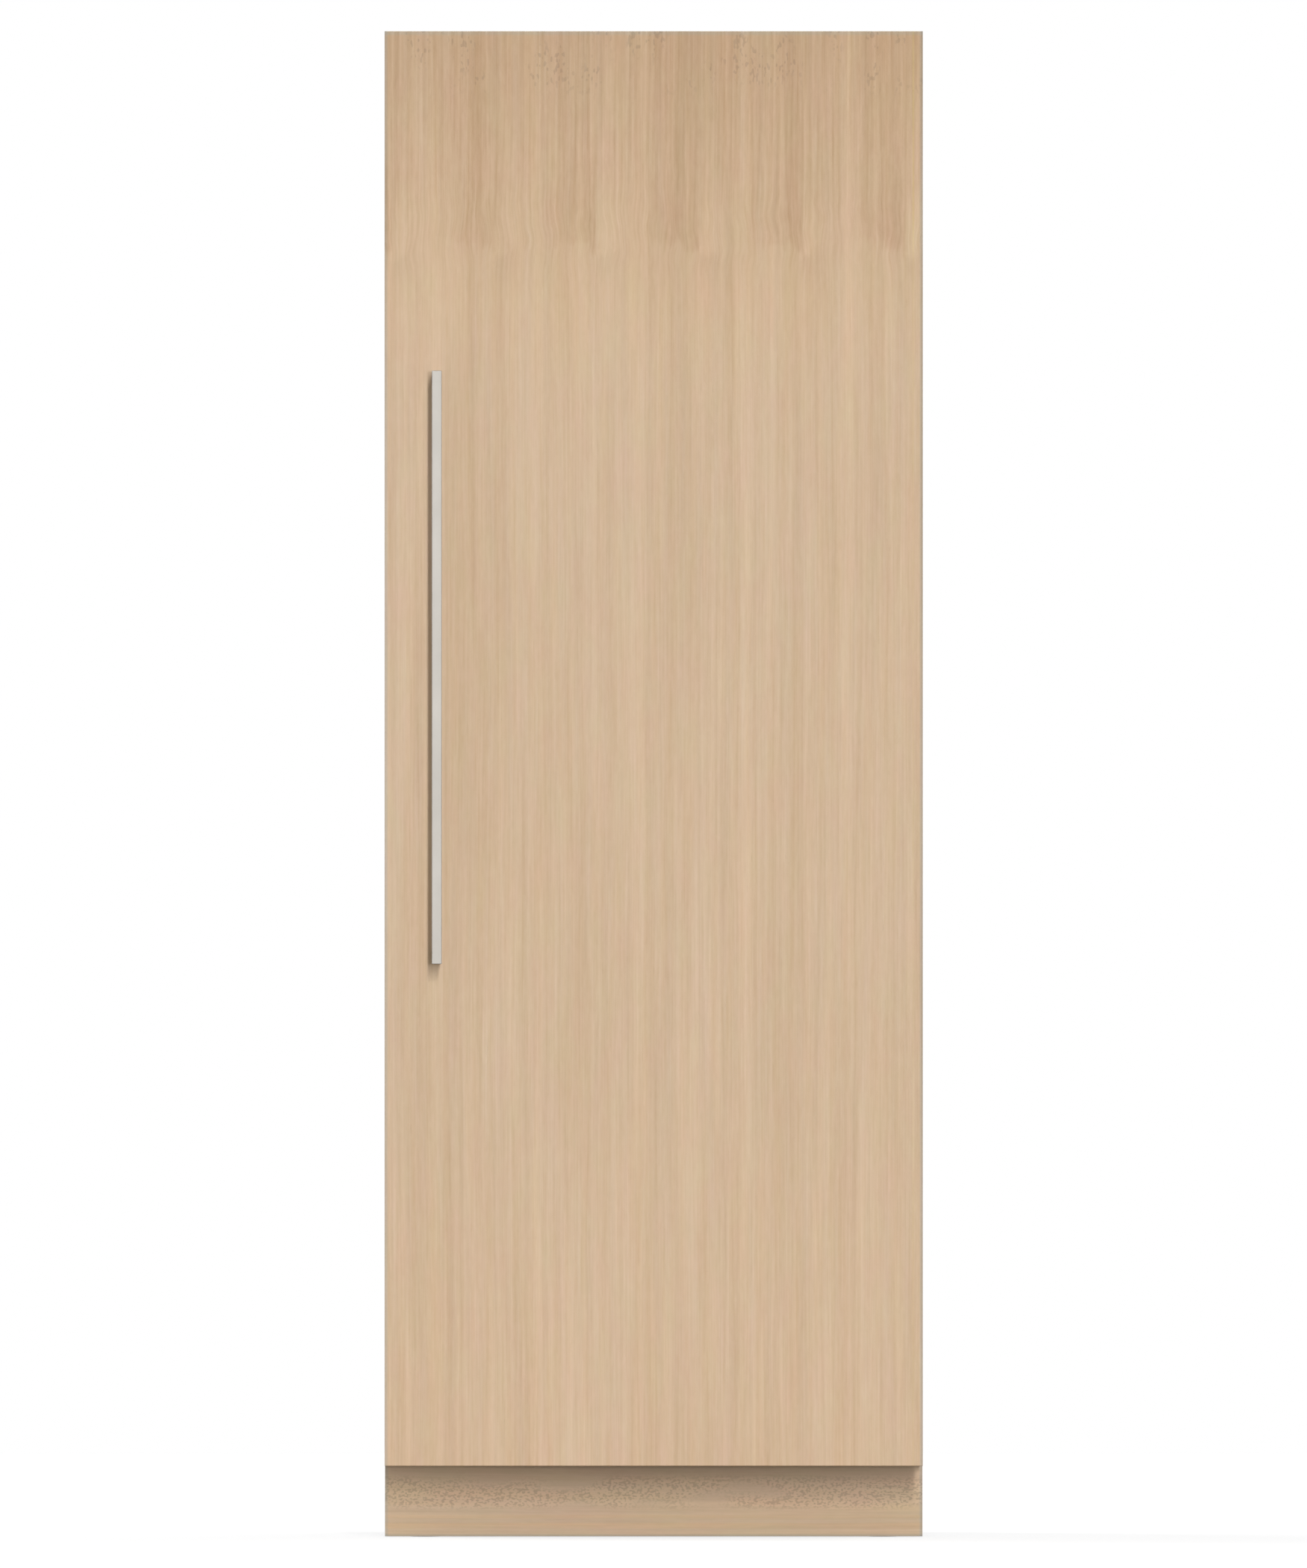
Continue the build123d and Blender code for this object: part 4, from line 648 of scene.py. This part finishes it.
def lathe(bm, profile, origin, axis, steps=24):
    """Revolves (radius, height) points about an axis; ends at radius 0 are closed to a point."""
    axis = Vector(axis).normalized()
    side = axis.orthogonal().normalized()
    other = axis.cross(side)
    origin = Vector(origin)
    rings = []
    for r, h in profile:
        if r < 1e-9:
            rings.append([bm.verts.new(origin + axis * h)])
        else:
            rings.append(
                [
                    bm.verts.new(
                        origin
                        + axis * h
                        + (side * math.cos(2 * math.pi * i / steps) + other * math.sin(2 * math.pi * i / steps)) * r
                    )
                    for i in range(steps)
                ]
            )
    for a, b in zip(rings, rings[1:]):
        for i in range(steps):
            k = (i + 1) % steps
            quad = [a[i % len(a)], a[k % len(a)], b[k % len(b)], b[i % len(b)]]
            seen = []
            for v in quad:
                if v not in seen:
                    seen.append(v)
            if len(seen) > 2:
                bm.faces.new(seen)


SCREW = brushed("screw_zinc", lin(200, 200, 198), lin(150, 150, 150), "x", (0.28, 0.4), 1.0, 0.12)
bm = bmesh.new()
for x in (-364, 0, 364):
    for z in (74, 318):
        lathe(
            bm,
            [(0.0, 0.0005), (0.0011, 0.0005), (0.0013, 0.0013), (0.0024, 0.0018), (0.0036, 0.0013), (0.0040, 0.0004), (0.0040, 0.0), (0.0020, 0.0), (0.0020, -0.0015), (0.0, -0.0015)],
            (x * MM, (F + 547.0) * MM, z * MM),
            (0, 1, 0),
            28,
        )
piece("cover_screws", bm, "cabinet", SCREW)


def bar(bm, lo, hi, bevel=0.0002):
    """A bevelled block between two corners."""
    made = bmesh.ops.create_cube(bm, size=1.0)["verts"]
    for v in made:
        v.co = Vector([lo[i] + (v.co[i] + 0.5) * (hi[i] - lo[i]) for i in range(3)])
    edges = {e for v in made for e in v.link_edges}
    bmesh.ops.bevel(bm, geom=list(edges), offset=bevel, segments=2, affect="EDGES", profile=0.5)


MARK = plastic("button_mark", lin(70, 72, 76), 0.4, 1200.0, 0.05)
for name, bx, plus in (("temp_down_button", -78.0, False), ("temp_up_button", 78.0, True)):
    bm = bmesh.new()
    y0, y1 = (F + 43.0) * MM, (F + 43.4) * MM
    bar(bm, ((bx - 2.4) * MM, y0, 2.0391), ((bx + 2.4) * MM, y1, 2.0399), 0.0001)
    if plus:
        bar(bm, ((bx - 0.4) * MM, y0 + 0.00002, 2.0371), ((bx + 0.4) * MM, y1, 2.0419), 0.0001)
    piece(name + "_mark", bm, name, MARK)

# the display window let into the control panel
bm = bmesh.new()
bar(bm, (-0.0415, (F + 45.1) * MM, 2.0345), (0.0415, (F + 45.75) * MM, 2.0445), 0.0003)
g = Mat("display_window")
tick = g.ramp(g.math("PINGPONG", g.x, 0.006), 0.0002, 0.0009, 1.0, 0.0)
row = g.mul(
    g.mul(g.ramp(g.z, 2.0374, 2.0378), g.ramp(g.z, 2.0416, 2.0412)),
    g.ramp(g.math("ABSOLUTE", g.x), 0.0335, 0.0330),
)
glow = g.mul(tick, row)
haze = g.noise(g.co, 300.0, 3.0)
piece(
    "display_window",
    bm,
    "cabinet",
    g.shade(
        Base_Color=g.mix(glow, lin(24, 26, 30), lin(190, 214, 230)),
        Roughness=g.ramp(haze, 0.3, 0.7, 0.10, 0.2),
        Normal=g.bump(haze, 0.03, 0.0001),
    ),
)

# ------------------------------------------------------------------ floor, light and camera
bm = bmesh.new()
bmesh.ops.create_grid(bm, x_segments=8, y_segments=8, size=9.0)
me = bpy.data.meshes.new("floor")
bm.to_mesh(me)
bm.free()
floor = bpy.data.objects.new("floor", me)
bpy.context.scene.collection.objects.link(floor)
g = Mat("pale_floor")
mottle = g.noise(g.co, 3.0, 4.0, 0.5)
me.materials.append(
    g.shade(
        Base_Color=g.tint((0.90, 0.90, 0.895, 1.0), g.add(0.99, g.mul(mottle, 0.02))),
        Roughness=g.ramp(mottle, 0.3, 0.7, 0.75, 0.85),
        Specular_IOR_Level=0.2,
    )
)
# the floor throws little light back, as a studio sweep that ends below the object would
dull = g.n("BsdfDiffuse")
dull.inputs["Color"].default_value = (0.30, 0.30, 0.30, 1.0)
pale = g.n("Emission")
pale.inputs["Color"].default_value = (0.99, 0.99, 0.99, 1.0)
lit = g.n("MixShader")  # mostly its own paleness, the rest what falls on it
lit.inputs[0].default_value = 0.78
g.put(lit.inputs[1], g.out.inputs["Surface"].links[0].from_socket)
g.put(lit.inputs[2], pale.outputs[0])
which = g.n("MixShader")
g.put(which.inputs[0], g.n("LightPath").outputs["Is Camera Ray"])
g.put(which.inputs[1], dull.outputs[0])
g.put(which.inputs[2], lit.outputs[0])
g.t.links.new(which.outputs[0], g.out.inputs["Surface"])

AMBIENT = 0.385
world = bpy.data.worlds.new("studio")
bpy.context.scene.world = world
world.use_nodes = True
wt = world.node_tree
wt.nodes.clear()
bg = wt.nodes.new("ShaderNodeBackground")
seen = wt.nodes.new("ShaderNodeBackground")
path = wt.nodes.new("ShaderNodeLightPath")
pick = wt.nodes.new("ShaderNodeMixShader")
wout = wt.nodes.new("ShaderNodeOutputWorld")
bg.inputs[0].default_value = (1, 1, 1, 1)
bg.inputs[1].default_value = AMBIENT
seen.inputs[0].default_value = (1, 1, 1, 1)
seen.inputs[1].default_value = 1.0
# the white surround shows to the eye and through clear plastic, but lights things less
either = wt.nodes.new("ShaderNodeMath")
either.operation = "MAXIMUM"
wt.links.new(path.outputs["Is Camera Ray"], either.inputs[0])
wt.links.new(path.outputs["Is Transmission Ray"], either.inputs[1])
wt.links.new(either.outputs[0], pick.inputs[0])
wt.links.new(bg.outputs[0], pick.inputs[1])
wt.links.new(seen.outputs[0], pick.inputs[2])
wt.links.new(pick.outputs[0], wout.inputs[0])


def sun(name, azimuth, elevation, strength, angle):
    """Azimuth 0 shines from the front (-Y), 90 from the right (+X)."""
    a, e = math.radians(azimuth), math.radians(elevation)
    to_light = Vector((math.sin(a) * math.cos(e), -math.cos(a) * math.cos(e), math.sin(e)))
    data = bpy.data.lights.new(name, "SUN")
    data.energy, data.angle = strength, math.radians(angle)
    o = bpy.data.objects.new(name, data)
    bpy.context.scene.collection.objects.link(o)
    o.rotation_mode = "QUATERNION"
    o.rotation_quaternion = to_light.to_track_quat("Z", "Y")
    o.location = to_light * 10


KEY = 0.649 * math.pi
# a tall, narrow strip of light in front, to the right: elevation and share of each part
STRIP = ((1.6, 1.75), (7.5, 0.55), (12.5, 0.85), (17.5, 0.70), (22.5, 0.85), (27.5, 1.4), (32.5, 0.3))
SHARES = sum(k * math.cos(math.radians(e)) for e, k in STRIP)
for i, (e, k) in enumerate(STRIP):
    sun(f"strip_{i}", 7.8, e, KEY * k / SHARES, 5.0)
sun("overhead", 180.0, 86.0, 0.5, 14.0)
sun("back_left", 238.0, 26.0, 1.9, 34.0)
sun("back_right", 140.0, 34.0, 0.8, 34.0)
sun("side_left", 250.0, 34.0, 0.8, 40.0)
sun("side_right", 110.0, 34.0, 0.85, 40.0)

bpy.context.scene.view_settings.view_transform = "Standard"
bpy.context.scene.view_settings.look = "None"

# the photograph's frame: 1750 x 2100, the object 2018 pixels tall and centred
SPAN = 2.134 / 2018 * 2100
LENS = 1200.0  # so long that the view is all but parallel, as the photograph's is
cam_data = bpy.data.cameras.new("camera")
cam_data.sensor_width = 36.0
cam_data.sensor_height = 36.0
cam_data.sensor_fit = "AUTO"
cam_data.lens = LENS
cam = bpy.data.objects.new("camera", cam_data)
bpy.context.scene.collection.objects.link(cam)
distance = SPAN * LENS / 36.0
cam.location = (-0.0003, (F - 79.0) * MM - distance, 2.134 / 2018 * (2058.5 - 1050.0) + 0.0014)
cam.rotation_euler = (math.radians(90), 0, 0)
cam_data.clip_start, cam_data.clip_end = 1.0, 900.0
bpy.context.scene.camera = cam
